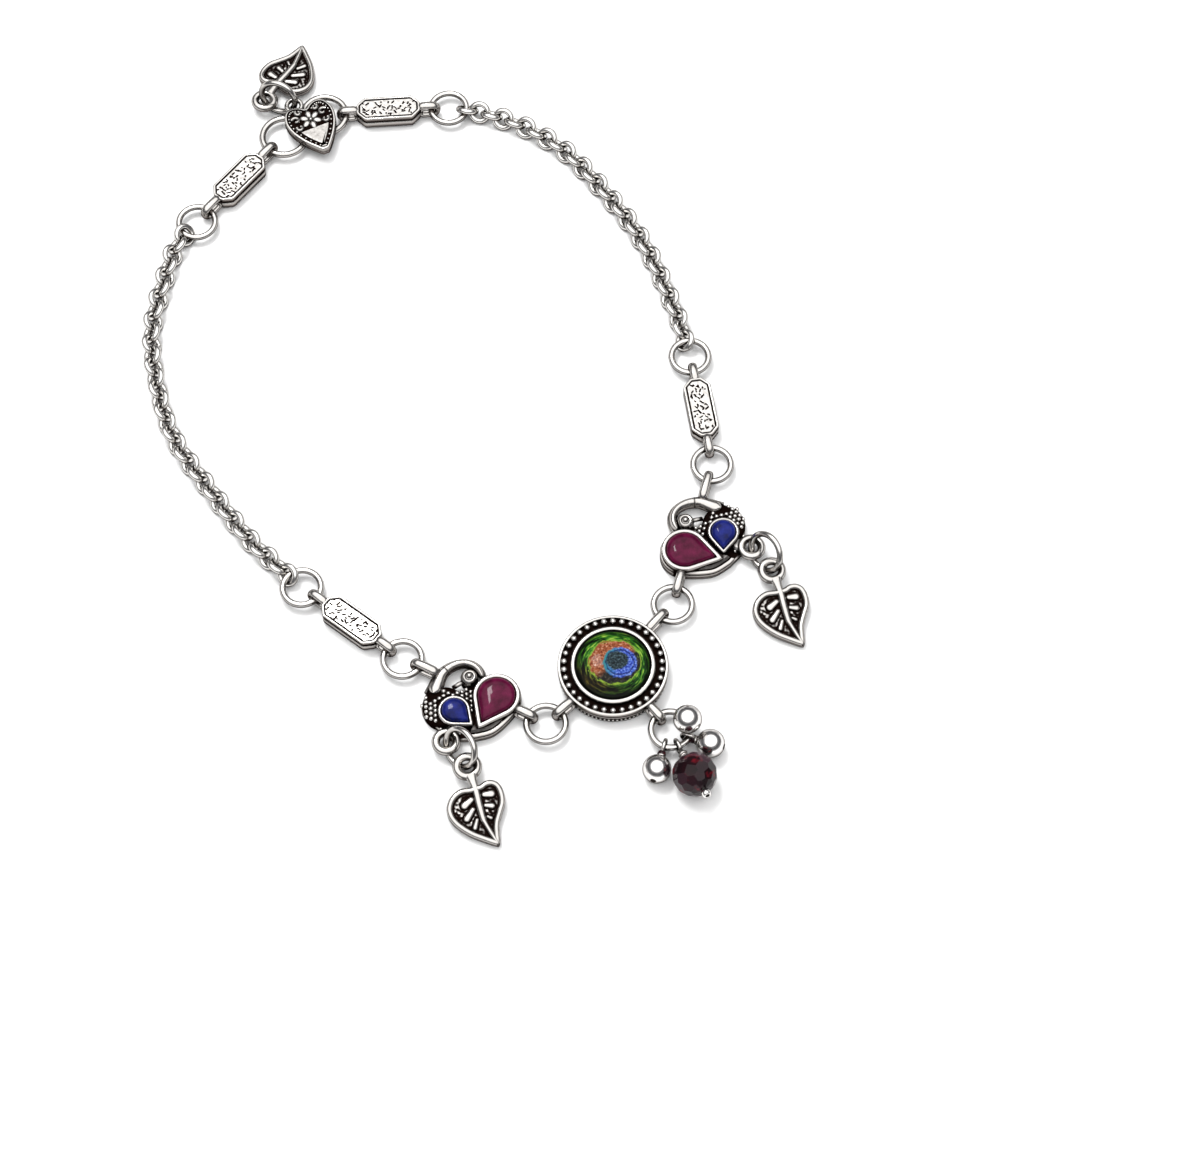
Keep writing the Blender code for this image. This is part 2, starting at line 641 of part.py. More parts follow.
def make_leaf(name, hung_on, ring_name):
    """A pipal leaf and its ring: the leaf's eye is at the origin and its tip points along X."""
    way, reach, degrees, lean = LEAF_PLACES[name]
    way = math.radians(way)
    at = hung_on + Vector((math.cos(way), math.sin(way), 0)) * reach * MM
    at.z = EYE_HEIGHT
    half = LEAF_THICK / 2
    outline = [leaf_point(along, across) for along, across in LEAF_OUTLINE]
    plate = stacked(outline, [(-half, 0), (half, 0), (half, LEAF_RIM), (half - LEAF_SINK, LEAF_RIM)])
    eye = torus(EYE_RADIUS, EYE_WIRE, LOOP_SIDES)
    spine = [leaf_point(along, across) for along, across, _ in LEAF_RIB]
    left, right = [], []
    for index, middle in enumerate(spine):
        ahead = spine[min(index + 1, len(spine) - 1)] - spine[max(index - 1, 0)]
        normal = Vector((-ahead.y, ahead.x)).normalized() * (RIB_WIDTH / 2 * LEAF_RIB[index][2])
        left.append(middle + normal)
        right.append(middle - normal)
    rib = stacked(right + left[::-1], [(-half + RIB_SLOPE, 0), (half - RIB_SLOPE, 0), (half, RIB_SLOPE)])
    tools = [add_tool(name + "_eye", eye), add_tool(name + "_rib", rib)]
    leaf = fuse(name, add_tool(name + "_plate", plate), tools, [], "oxidised_silver")
    tilt = math.asin((EYE_HEIGHT - half) / LEAF_LENGTH)
    leaf.rotation_mode = 'QUATERNION'
    leaf.rotation_quaternion = (Matrix.Rotation(math.radians(degrees), 3, 'Z')
                                @ Matrix.Rotation(tilt, 3, 'Y')).to_quaternion()
    leaf.location = at
    make_drop_ring(ring_name, hung_on, at, math.radians(lean))


def make_drop_ring(name, first, second, tilt):
    """A jump ring through two lying eyes, leaning up over the line between them."""
    between = second - first
    side = Vector((-between.y, between.x, 0)).normalized()
    rise = side * math.cos(tilt) + Vector((0, 0, 1)) * math.sin(tilt)
    rise = (rise - between.normalized() * rise.dot(between.normalized())).normalized()
    lift = math.sqrt(RING_RADIUS ** 2 - (between.length / 2) ** 2)
    axis = between.cross(rise)
    ring = add_object(name, torus(RING_RADIUS, RING_WIRE, RING_SIDES), "bright_silver")
    ring.rotation_mode = 'QUATERNION'
    ring.rotation_quaternion = axis.to_track_quat('Z', 'Y')
    ring.location = (first + second) / 2 + rise * lift
    shade(ring, 80)


def hanging_frame(degrees, point, lift, diameter):
    """Frame of a bead on the cluster's ring, from the wire with X to the bead, and the bead's reach."""
    angle = math.radians(degrees)
    middle = flat(RING_PLACES["ring_cluster"], LINE_HEIGHT)
    eye = middle + Vector((math.cos(angle), math.sin(angle), 0)) * RING_RADIUS
    along = flat(point, lift * diameter) - eye
    axis = along.normalized()
    wire = Vector((-math.sin(angle), math.cos(angle), 0))
    across = (wire - axis * wire.dot(axis)).normalized()
    frame = Matrix((axis, across, axis.cross(across))).transposed().to_4x4()
    return Matrix.Translation(eye) @ frame, along.length


def drop_eye():
    bm = torus((DROP_EYE_HOLE + DROP_EYE_WIRE) / 2, DROP_EYE_WIRE, 10)
    bm.transform(Matrix.Rotation(math.pi / 2, 4, 'X'))
    return bm


def pose(part, matrix):
    part.rotation_mode = 'QUATERNION'
    part.location = matrix.to_translation()
    part.rotation_quaternion = matrix.to_quaternion()


def make_cluster():
    eye_rim = DROP_EYE_HOLE / 2 + DROP_EYE_WIRE / 2
    for name, spot in BALL_PLACES.items():
        frame, reach = hanging_frame(*spot, BALL_DIAMETER)
        body = ball(BALL_DIAMETER, BEAD_SIDES)
        body.transform(Matrix.Translation((reach, 0, 0)))
        stem = rod(Vector((eye_rim, 0, 0)), Vector((reach, 0, 0)), PIN_DIAMETER)
        tools = [add_tool(name + "_eye", drop_eye()), add_tool(name + "_stem", stem)]
        pose(fuse(name, add_tool(name + "_body", body), tools, [], "bright_silver", 60), frame)
    frame, reach = hanging_frame(*GARNET_PLACE, GARNET_DIAMETER)
    bead = add_tool("garnet_round", ball(GARNET_DIAMETER, BEAD_SIDES))
    bead.data.transform(Matrix.Translation((reach, 0, 0)))
    far = reach + GARNET_DIAMETER
    drill = add_tool("garnet_drill", rod(Vector((0, 0, 0)), Vector((far, 0, 0)), GARNET_HOLE))
    bead = fuse("garnet_bead", bead, [], [drill], "garnet")
    bead.data.shade_flat()
    pose(bead, frame)
    tip = reach + GARNET_DIAMETER / 2 + PIN_HEAD / 2
    head = ball(PIN_HEAD, 10)
    head.transform(Matrix.Translation((tip, 0, 0)))
    shaft = rod(Vector((eye_rim, 0, 0)), Vector((tip, 0, 0)), PIN_DIAMETER)
    tools = [add_tool("pin_eye", drop_eye()), add_tool("pin_head", head)]
    pose(fuse("garnet_pin", add_tool("pin_shaft", shaft), tools, [], "bright_silver", 60), frame)


def hook_middle(side):
    offset = Vector((side * HOOK_SPREAD / 2, 0, LINE_HEIGHT))
    return Matrix.Translation(flat(CLASP_PLACE)) @ Matrix.Rotation(CLASP_TURN, 4, 'Z') @ offset


def hook_wire_point(side, ring):
    """Where one of the clasp's wire rings is nearest to a jump ring."""
    middle = hook_middle(side)
    away = flat(RING_PLACES[ring], LINE_HEIGHT) - middle
    return middle + away.normalized() * (HOOK_OUTER - HOOK_WIRE) / 2


def heart_outline():
    right = [Vector((across * HEART_WIDTH / 2, along * HEART_LENGTH)) for across, along in HEART_HALF]
    left = [Vector((-point.x, point.y)) for point in right[:0:-1]]
    tip = Vector((0, -HEART_LENGTH * 0.83))
    around = right + [tip] + left
    middle = Vector((0, HEART_LENGTH * 0.32))
    turn = Matrix.Rotation(HEART_TURN, 2)
    return [turn @ (point + middle) + Vector(HEART_PLACE) for point in around[::-1]]


def make_clasp():
    hook_radius = (HOOK_OUTER - HOOK_WIRE) / 2
    wires = []
    for side in (-1, 1):
        wire = torus(hook_radius, HOOK_WIRE, HOOK_SIDES)
        wire.transform(Matrix.Translation((side * HOOK_SPREAD / 2, 0, LINE_HEIGHT)))
        wires.append(add_tool("hook_wire", wire))
    bottom = LINE_HEIGHT + HEART_SEAT
    top = bottom + HEART_THICK
    plate = stacked(heart_outline(), [
        (bottom, HEART_SLOPE), (bottom + 2 * HEART_SLOPE, 0), (top, 0), (top, HEART_RIM),
        (top - HEART_SINK, HEART_RIM + HEART_SLOPE)])
    eye_middle = Vector((*HEART_EYE_PLACE, bottom + HEART_THICK / 2))
    eye = torus((HEART_EYE_OUTER - HEART_EYE_WIRE) / 2, HEART_EYE_WIRE, 10)
    eye.transform(Matrix.Translation(eye_middle))
    tools = [wires[1], add_tool("heart_plate", plate), add_tool("heart_eye", eye)]
    clasp = fuse("clasp_body", wires[0], tools, [], "oxidised_silver")
    place(clasp, flat(CLASP_PLACE), CLASP_TURN)
    return Matrix.Translation(flat(CLASP_PLACE)) @ Matrix.Rotation(CLASP_TURN, 4, 'Z') @ eye_middle


make_jump_rings()
make_chain("chain_left", "ring_bar_top_left", "ring_chain_left")
make_chain("chain_right", "ring_chain_right", "ring_bar_top_right")

left_hook = hook_wire_point(-1, "ring_bar_top_left")
right_hook = hook_wire_point(1, "ring_bar_top_right")
make_bar("bar_top_left", ring_wire_point("ring_bar_top_left", left_hook), left_hook)
make_bar("bar_top_right", ring_wire_point("ring_bar_top_right", right_hook), right_hook)
for bar, ring_a, ring_b in (("bar_left", "ring_chain_left", "ring_bar_left"),
                            ("bar_right", "ring_bar_right", "ring_chain_right")):
    place_a, place_b = flat(RING_PLACES[ring_a]), flat(RING_PLACES[ring_b])
    make_bar(bar, ring_wire_point(ring_a, place_b), ring_wire_point(ring_b, place_a))

make_medallion()
left_drop = make_peacock("peacock_left", "ring_bar_left", "ring_medallion_left", 1)
right_drop = make_peacock("peacock_right", "ring_bar_right", "ring_medallion_right", -1)
heart_eye = make_clasp()
make_leaf("leaf_left", left_drop, "ring_leaf_left")
make_leaf("leaf_right", right_drop, "ring_leaf_right")
make_leaf("leaf_clasp", heart_eye, "ring_clasp")
make_cluster()
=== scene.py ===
import math
import random

import bmesh
import bpy
from bmesh.types import BMEdge, BMFace, BMVert
from mathutils import Matrix, Vector, kdtree, noise


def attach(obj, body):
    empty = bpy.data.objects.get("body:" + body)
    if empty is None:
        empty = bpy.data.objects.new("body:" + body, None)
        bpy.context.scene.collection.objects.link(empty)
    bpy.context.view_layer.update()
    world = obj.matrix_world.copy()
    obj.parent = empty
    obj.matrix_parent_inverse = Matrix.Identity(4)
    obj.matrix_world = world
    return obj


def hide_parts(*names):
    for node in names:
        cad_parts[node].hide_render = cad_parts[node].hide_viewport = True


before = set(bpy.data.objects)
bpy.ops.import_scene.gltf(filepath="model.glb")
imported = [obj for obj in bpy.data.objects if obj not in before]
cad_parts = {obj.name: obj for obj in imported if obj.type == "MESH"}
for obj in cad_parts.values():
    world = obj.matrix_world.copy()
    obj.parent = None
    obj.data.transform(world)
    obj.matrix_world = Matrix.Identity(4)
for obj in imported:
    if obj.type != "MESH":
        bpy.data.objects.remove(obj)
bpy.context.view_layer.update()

MM = 0.001
TENTH = 0.1 * MM

# Sizes of the pieces, as in the model that the scene dresses
RING_OUTER = 6.1 * MM
RING_WIRE = 0.82 * MM
LINK_OUTER = 3.3 * MM
LINK_WIRE = 0.76 * MM
LINK_BITE = 0.07 * MM
LINK_TURN = math.radians(45)
HOOK_GAP = 0.32 * MM
RISE_LENGTH = 7.0 * MM
LOOP_HOLE = 1.15 * MM
LOOP_WIRE = 0.85 * MM
LOOP_SEAT_OUT = 0.65 * MM
BAR_LENGTH = 9.4 * MM
BAR_WIDTH = 3.9 * MM
BAR_THICK = 2.3 * MM
BAR_FLAT = 7.0 * MM
BAR_END_WIDTH = 1.5 * MM
BAR_RIM = 0.34 * MM
BAR_SINK = 0.3 * MM
BAR_GROOVE = 0.16 * MM
BAR_FLOOR_GAP = 0.25 * MM
MEDALLION_RADIUS = 7.5 * MM
MEDALLION_THICK = 2.7 * MM
RIM_WALL = 0.4 * MM
BEZEL_RADIUS = 5.75 * MM
BEZEL_WALL = 0.6 * MM
BEZEL_RISE = 0.25 * MM
CHANNEL_SINK = 0.55 * MM
CUP_DEPTH = 1.4 * MM
DOME_RISE = 0.95 * MM
STONE_GAP = 0.08 * MM
PEACOCK_FLOOR = 1.25 * MM
PLATE_THICK = 1.12 * MM
MAGENTA = {"place": (3.3 * MM, 0.33 * MM), "radius": 2.6 * MM, "tip": 4.5 * MM, "wall": 0.6 * MM,
           "height": 2.85 * MM, "turn": math.radians(-90)}
BLUE = {"place": (-0.82 * MM, -4.13 * MM), "radius": 1.73 * MM, "tip": 2.75 * MM, "wall": 0.45 * MM,
        "height": 2.75 * MM, "turn": math.radians(-14)}
PEAR_RISE = 0.6 * MM
HEAD_PLACE = (-1.4 * MM, 1.4 * MM)
HEAD_RADIUS = 1.2 * MM
HEAD_HEIGHT = 2.2 * MM
STUD_RADIUS = 0.48 * MM
NECK_REACH = 5.8 * MM
NECK_HEIGHT = 2.35 * MM
BREAST_PLACE = (-2.47 * MM, -3.83 * MM)
BREAST_RADIUS = 3.0 * MM
BREAST_HEIGHT = 2.0 * MM
PLATE_REACH = 6.9 * MM
DROP_LOOP_PLACE = (0.15 * MM, -8.35 * MM)
EYE_OUTER = 3.7 * MM
EYE_WIRE = 0.9 * MM
EYE_HEIGHT = 1.7 * MM
LEAF_LENGTH = 11.8 * MM
LEAF_WIDTH = 8.1 * MM
LEAF_THICK = 1.3 * MM
BALL_DIAMETER = 3.9 * MM
GARNET_DIAMETER = 6.0 * MM
SEED_DIAMETER = 1.25 * MM
DROP_EYE_HOLE = 1.25 * MM
DROP_EYE_WIRE = 0.55 * MM
PIN_DIAMETER = 0.62 * MM
PIN_HEAD = 1.4 * MM
HOOK_OUTER = 7.4 * MM
HOOK_WIRE = 0.95 * MM
HOOK_SPREAD = 6.9 * MM
HEART_WIDTH = 7.5 * MM
HEART_LENGTH = 8.8 * MM
HEART_THICK = 1.5 * MM
HEART_SEAT = 0.14 * MM
HEART_PLACE = (0.8 * MM, -1.75 * MM)
HEART_TURN = math.radians(-8)
HEART_EYE_PLACE = (0.3 * MM, 3.3 * MM)
HEART_EYE_OUTER = 2.9 * MM
HEART_EYE_WIRE = 0.7 * MM
LINE_HEIGHT = LOOP_HOLE / 2 + LOOP_WIRE
RING_RADIUS = (RING_OUTER - RING_WIRE) / 2
LOOP_RADIUS = (LOOP_HOLE + LOOP_WIRE) / 2
LINK_RADIUS = (LINK_OUTER - LINK_WIRE) / 2
EYE_RADIUS = (EYE_OUTER - EYE_WIRE) / 2
HOOK_RADIUS = (HOOK_OUTER - HOOK_WIRE) / 2

# How many times thicker than its solid each wire is drawn; a standing loop is only drawn wider
RING_DRAWN = 1.08
LINK_DRAWN = 1.15
EYE_DRAWN = 1.28
LOOP_DRAWN = 1.43

# Details that only the dressed model has
RELIEF_DEPTH = 0.25 * MM
BAR_EASED = 0.16 * MM
BAR_FACE_INSET = BAR_RIM + 0.22 * MM
CHASING_COLUMNS, CHASING_ROWS = 15, 4
CHASING_GAPS = 0.2
CHASING_DEPTH = 0.08 * MM
CHASING_REACH = 1.6
RIM_BEADS, RIM_BEAD = 34, 0.88 * MM
RIM_BEAD_INSET, RIM_BEAD_LIFT = 0.46 * MM, 0.34 * MM
SIDE_BEADS, SIDE_BEAD = 80, 0.34 * MM
GRANULE, GRANULE_STEP = 0.60 * MM, 0.70 * MM
NECK_THICK = 0.95 * MM
SKIRT_RISE = 0.75 * MM
SKIRT_START = 2.5 * MM
LEAF_RIM = 0.41 * MM
LEAF_GROUND = -0.42 * MM
LEAF_FIELD_INSET = 0.45 * MM
PETAL_RISE = 0.30 * MM
PETAL_LINE = 0.16 * MM
WRAP_WIRE = 0.36 * MM
MILGRAIN, MILGRAIN_INSET = 0.4 * MM, 0.68 * MM
FLOWER_PETALS = 6
FLOWER_SHIFT = 1.35 * MM

# Middles of the lying jump rings, in millimetres
RING_PLACES = {
    "ring_bar_top_left": (-60.4, 71.7),
    "ring_chain_left": (-42.6, 12.3),
    "ring_bar_left": (-28.5, 1.5),
    "ring_medallion_left": (-9.0, -8.1),
    "ring_medallion_right": (8.2, 9.7),
    "ring_bar_right": (13.9, 31.5),
    "ring_chain_right": (11.05, 49.0),
    "ring_bar_top_right": (-24.2, 91.8),
    "ring_cluster": (7.7, -8.95),
}
CLASP_PLACE = (-45.5, 88.6)
CLASP_TURN = math.radians(33.3)

# Routes of the chain's two strands, in millimetres
CHAIN_ROUTES = {
    "chain_left": [
        (-62.6, 68.6), (-64.1, 64.2), (-65.8, 53.5), (-64.3, 43.6),
        (-61.4, 35.5), (-56.0, 27.5), (-50.1, 19.7), (-45.3, 14.9),
    ],
    "chain_right": [
        (10.1, 52.7), (9.0, 56.8), (5.5, 66.2), (1.2, 73.9),
        (-6.2, 83.5), (-12.1, 88.0), (-16.6, 90.1), (-20.7, 91.3),
    ],
}
# Each leaf: way and distance from what it hangs on, its own turn, and the lean of its ring
LEAF_PLACES = {
    "leaf_left": (-51.5, 4.6, -68.0, 58.0),
    "leaf_right": (-52.5, 4.5, -69.5, 62.0),
    "leaf_clasp": (163.0, 4.7, 64.0, 104.0),
}
# Each bead: where on the ring it hangs, its middle in millimetres, its height in diameters
BALL_PLACES = {
    "ball_lower": (-110.0, (5.8, -14.9), 0.5),
    "ball_outer": (-27.0, (13.0, -11.2), 0.5),
    "ball_upper": (16.0, (9.9, -8.7), 1.1),
}
GARNET_PLACE = (-68.0, (10.8, -16.1), 0.5)

# Outlines in shares of each piece's length and width; a rib's or neck's third number is its width
LEAF_OUTLINE = [
    (0.255, -0.08), (0.232, -0.26), (0.276, -0.44), (0.373, -0.565), (0.477, -0.598), (0.578, -0.570),
    (0.683, -0.49), (0.792, -0.368), (0.886, -0.222), (0.975, -0.07), (1.0, 0.0), (0.955, 0.045),
    (0.872, 0.081), (0.765, 0.138), (0.662, 0.245), (0.558, 0.353), (0.437, 0.398), (0.325, 0.379),
    (0.258, 0.289), (0.243, 0.166), (0.262, 0.07),
]
LEAF_RIB = [
    (0.11, 0.0, 1.75), (0.20, -0.01, 1.3), (0.32, -0.02, 1.15), (0.48, -0.055, 1.05),
    (0.65, -0.08, 0.95), (0.70, -0.075, 0.78), (0.84, -0.045, 0.75), (0.965, -0.01, 0.6),
]
# Petal-shaped veins of the leaf: root, end, and half width in millimetres
LEAF_VEINS = [
    ((0.385, 0.085), (0.405, 0.20), 0.54), ((0.510, 0.04), (0.540, 0.135), 0.44),
    ((0.640, 0.0), (0.670, 0.045), 0.30), ((0.390, -0.145), (0.43, -0.285), 0.54),
    ((0.505, -0.18), (0.585, -0.33), 0.48), ((0.635, -0.18), (0.715, -0.26), 0.38),
]
PLATE_OUTLINE = [
    (0.93, 0.145), (0.87, 0.33), (0.71, 0.48), (0.48, 0.545), (0.23, 0.48), (0.04, 0.33), (-0.13, 0.09),
    (-0.26, -0.19), (-0.43, -0.26), (-0.64, -0.30), (-0.82, -0.39), (-0.77, -0.74), (-0.59, -0.92),
    (-0.28, -1.0), (-0.10, -1.05), (0.14, -1.05), (0.39, -0.93), (0.52, -0.85), (0.77, -0.60), (0.92, -0.15),
]
NECK_SECTIONS = [
    (-0.80, -0.50, 0.19), (-0.84, -0.18, 0.16), (-0.85, 0.06, 0.135), (-0.75, 0.31, 0.115),
    (-0.56, 0.50, 0.10), (-0.33, 0.56, 0.10), (-0.12, 0.50, 0.09), (0.03, 0.38, 0.07),
]
HEART_HALF = [
    (0.0, 0.065), (0.22, 0.13), (0.5, 0.17), (0.78, 0.13), (0.96, 0.0), (1.0, -0.16),
    (0.9, -0.34), (0.68, -0.53), (0.4, -0.70), (0.15, -0.82),
]
# Curls of the heart: place beside the flower, size in millimetres, and which way they wind
HEART_CURLS = [(2.15, 0.55, 0.66, 1), (2.0, -0.85, 0.50, -1), (1.3, 1.75, 0.42, -1)]

random.seed(11)


# Materials

def colour(code):
    """A linear colour with alpha from an sRGB hex value."""
    parts = [int(code[index:index + 2], 16) / 255 for index in (0, 2, 4)]
    return tuple(c / 12.92 if c <= 0.04045 else ((c + 0.055) / 1.055) ** 2.4 for c in parts) + (1.0,)


def fill(tree, made, inputs):
    """Sets a node's inputs; each takes a value, or a socket that is linked to it."""
    for name, value in inputs.items():
        if isinstance(value, bpy.types.NodeSocket):
            tree.links.new(value, made.inputs[name])
        else:
            made.inputs[name].default_value = value


def node(tree, kind, inputs, **settings):
    made = tree.nodes.new("ShaderNode" + kind)
    for name, value in settings.items():
        setattr(made, name, value)
    fill(tree, made, inputs)
    return made


def clouds(tree, place, size, detail, roughness=0.5):
    """Noise with blots of about this size."""
    return node(tree, "TexNoise", {"Vector": place, "Scale": 1 / size, "Detail": detail,
                                   "Roughness": roughness}).outputs["Fac"]


def spread(tree, value, low, high, first=0.0, last=1.0, kind='LINEAR'):
    """Goes from first to last while the value goes from low to high."""
    return node(tree, "MapRange", {"Value": value, "From Min": low, "From Max": high, "To Min": first,
                                   "To Max": last}, interpolation_type=kind).outputs["Result"]


def ramp(tree, value, stops):
    made = node(tree, "ValToRGB", {"Fac": value})
    elements = made.color_ramp.elements
    while len(elements) < len(stops):
        elements.new(0.5)
    for element, (place, code) in zip(elements, stops):
        element.position, element.color = place, colour(code)
    return made.outputs["Color"]


def mix(tree, share, first, second, blend='MIX'):
    """Mixes two colours; each is a socket or a hex value."""
    first, second = (colour(part) if isinstance(part, str) else part for part in (first, second))
    return node(tree, "Mix", {0: share, 6: first, 7: second}, data_type='RGBA', blend_type=blend).outputs[2]


def maths(tree, operation, *values):
    return node(tree, "Math", dict(enumerate(values)), operation=operation).outputs[0]


def vectors(tree, operation, *values):
    names = (0, "Scale") if operation == 'SCALE' else (0, 1)
    made = node(tree, "VectorMath", dict(zip(names, values)), operation=operation)
    return made.outputs["Value" if operation in ('LENGTH', 'DOT_PRODUCT') else "Vector"]


def new_material(name):
    material = bpy.data.materials.new(name)
    material.use_nodes = True
    tree = material.node_tree
    return material, tree, tree.nodes["Principled BSDF"], node(tree, "TexCoord", {}).outputs["Object"]


def patina_and_painted_light_on(tree):
    """How darkly the patina was laid on each vertex; the same layer also carries the garnet's painted facet
    reflections and a painted dark spot on two balls.
    """
    return node(tree, "Attribute", {}, attribute_name="dark").outputs["Fac"]


def silver(name, polish, patina, under, painted_shade_span, hollows, roughness, scratch):
    """Silver with dark patina in its hollows, and painted shade: the further a face turns from straight up,
    the nearer its colour goes to the under colour on sides and undersides.
    """
    material, tree, shader, place = new_material(name)
    reach, closed, opened = hollows
    hollow = node(tree, "AmbientOcclusion", {"Distance": reach}, samples=6, only_local=True).outputs["AO"]
    shift = maths(tree, 'MULTIPLY_ADD', clouds(tree, place, 0.5 * MM, 4.0, 0.65), 0.3, -0.15)
    openness = maths(tree, 'SUBTRACT', maths(tree, 'ADD', hollow, shift), patina_and_painted_light_on(tree))
    clean = spread(tree, openness, closed, opened, kind='SMOOTHSTEP')
    tone = clouds(tree, place, 1.4 * MM, 4.0)
    # Painted shade: faces that look up keep the polish colours, and sides and undersides go to the under
    # colour.
    upward = node(tree, "SeparateXYZ", {0: place.node.outputs["Normal"]}).outputs["Z"]
    surface = mix(tree, spread(tree, upward, *painted_shade_span, kind='SMOOTHSTEP'), under, mix(tree, tone, *polish))
    fine = clouds(tree, place, 0.15 * MM, 3.0)
    scratches = node(tree, "Bump", {"Height": fine, "Strength": scratch, "Distance": 0.02 * MM})
    dents = node(tree, "Bump", {"Height": tone, "Strength": 0.5, "Distance": 0.06 * MM,
                                "Normal": scratches.outputs["Normal"]})
    fill(tree, shader, {
        "Base Color": mix(tree, clean, patina, surface), "Metallic": 1.0, "Specular Tint": colour("55504D"),
        "Roughness": maths(tree, 'MULTIPLY_ADD', fine, 0.12, spread(tree, clean, 0.0, 1.0, 0.6, roughness)),
        "Normal": dents.outputs["Normal"]})
    return material


# Drawn round wire, tumbled bright: bright along its top, with painted shade that darkens its sides and
# underside
WIRE = silver("polished_silver_wire", ("CCC8C4", "DCD9D5"), "16100E", "2C2623", (-0.02, 0.80),
              (0.55 * MM, 0.36, 0.82), 0.11, 0.12)
# The chain's links, rubbed bright on every turn: patina where one link lies in the next, and painted shade on
# their sides and undersides
CHAIN = silver("tumbled_silver_chain", ("DAD7D3", "E6E4E1"), "120D0B", "645D59", (-0.08, 0.52),
               (0.5 * MM, 0.36, 0.80), 0.12, 0.12)
# Cast silver, blackened and then rubbed back: bright edges and upward faces, walls greyed by painted shade,
# brown-black patina in the grounds
CAST = silver("oxidised_cast_silver", ("BAB6B2", "CCC9C5"), "1A100D", "6E6865", (-0.10, 0.76),
              (0.6 * MM, 0.44, 0.86), 0.14, 0.25)
# Grains of silver fused on a blackened ground: each one white on top, with painted shade on its sides
GRAIN = silver("granulated_silver", ("DAD6D2", "E6E4E1"), "1A100D", "5A5451", (-0.05, 0.45),
               (0.2 * MM, 0.0, 0.42), 0.16, 0.08)
# Silver balls, mirror polished: nearly white all over, with a soft grey painted shade towards the underside
BALL = silver("mirror_polished_silver", ("E2DFDC", "ECEAE8"), "3A3432", "A8A4A1", (-0.5, 0.45),
              (0.5 * MM, 0.20, 0.60), 0.08, 0.05)


def cabochon(name, deep, body, rim):
    """A polished glassy stone: deep inside, and lighter in a thin line by its setting, a painted sheen that
    follows how far each face turns from the view.
    """
    material, tree, shader, place = new_material(name)
    painted_sheen_facing = node(tree, "LayerWeight", {"Blend": 0.35}).outputs["Facing"]
    inner = ramp(tree, clouds(tree, place, 1.8 * MM, 5.0, 0.65), [(0.34, deep), (0.66, body)])
    fill(tree, shader, {
        # Painted sheen: the base colour goes to the rim colour as the face turns away from the view.
        "Base Color": mix(tree, spread(tree, painted_sheen_facing, 0.50, 0.95), inner, rim), "Roughness": 0.12, "IOR": 1.62,
        "Specular IOR Level": 0.02, "Coat Weight": 0.22, "Coat Roughness": 0.03})
    return material


# Plum-red synthetic ruby, cut en cabochon: wine-dark, with a painted pink sheen round its edge
MAGENTA_STONE = cabochon("magenta_ruby_cabochon", "3C0620", "5E1136", "93405F")
# Deep lapis-blue glass cabochon: inky, with a painted lighter-blue sheen round its edge
BLUE_STONE = cabochon("lapis_blue_cabochon", "0A0F38", "1A2474", "3E4CA8")


def garnet_material():
    """Rhodolite garnet: nearly black wine red with wine-red patches of painted light shining through it, and
    painted mauve-grey reflection on some of its facets.
    """
    material, tree, shader, place = new_material("faceted_garnet")
    # The brightest wine-red in this ramp is painted light shining through the stone.
    inner = ramp(tree, clouds(tree, place, 1.6 * MM, 2.0),
                 [(0.40, "12060A"), (0.58, "1E080E"), (0.68, "5E0C18")])
    fill(tree, shader, {
        # Painted reflection: facets marked in the vertex layer go to mauve-grey.
        "Base Color": mix(tree, patina_and_painted_light_on(tree), inner, "4A343E"), "Roughness": 0.08, "IOR": 1.76,
        "Specular IOR Level": 0.08, "Coat Weight": 0.12, "Coat Roughness": 0.02})
    return material


GARNET = garnet_material()


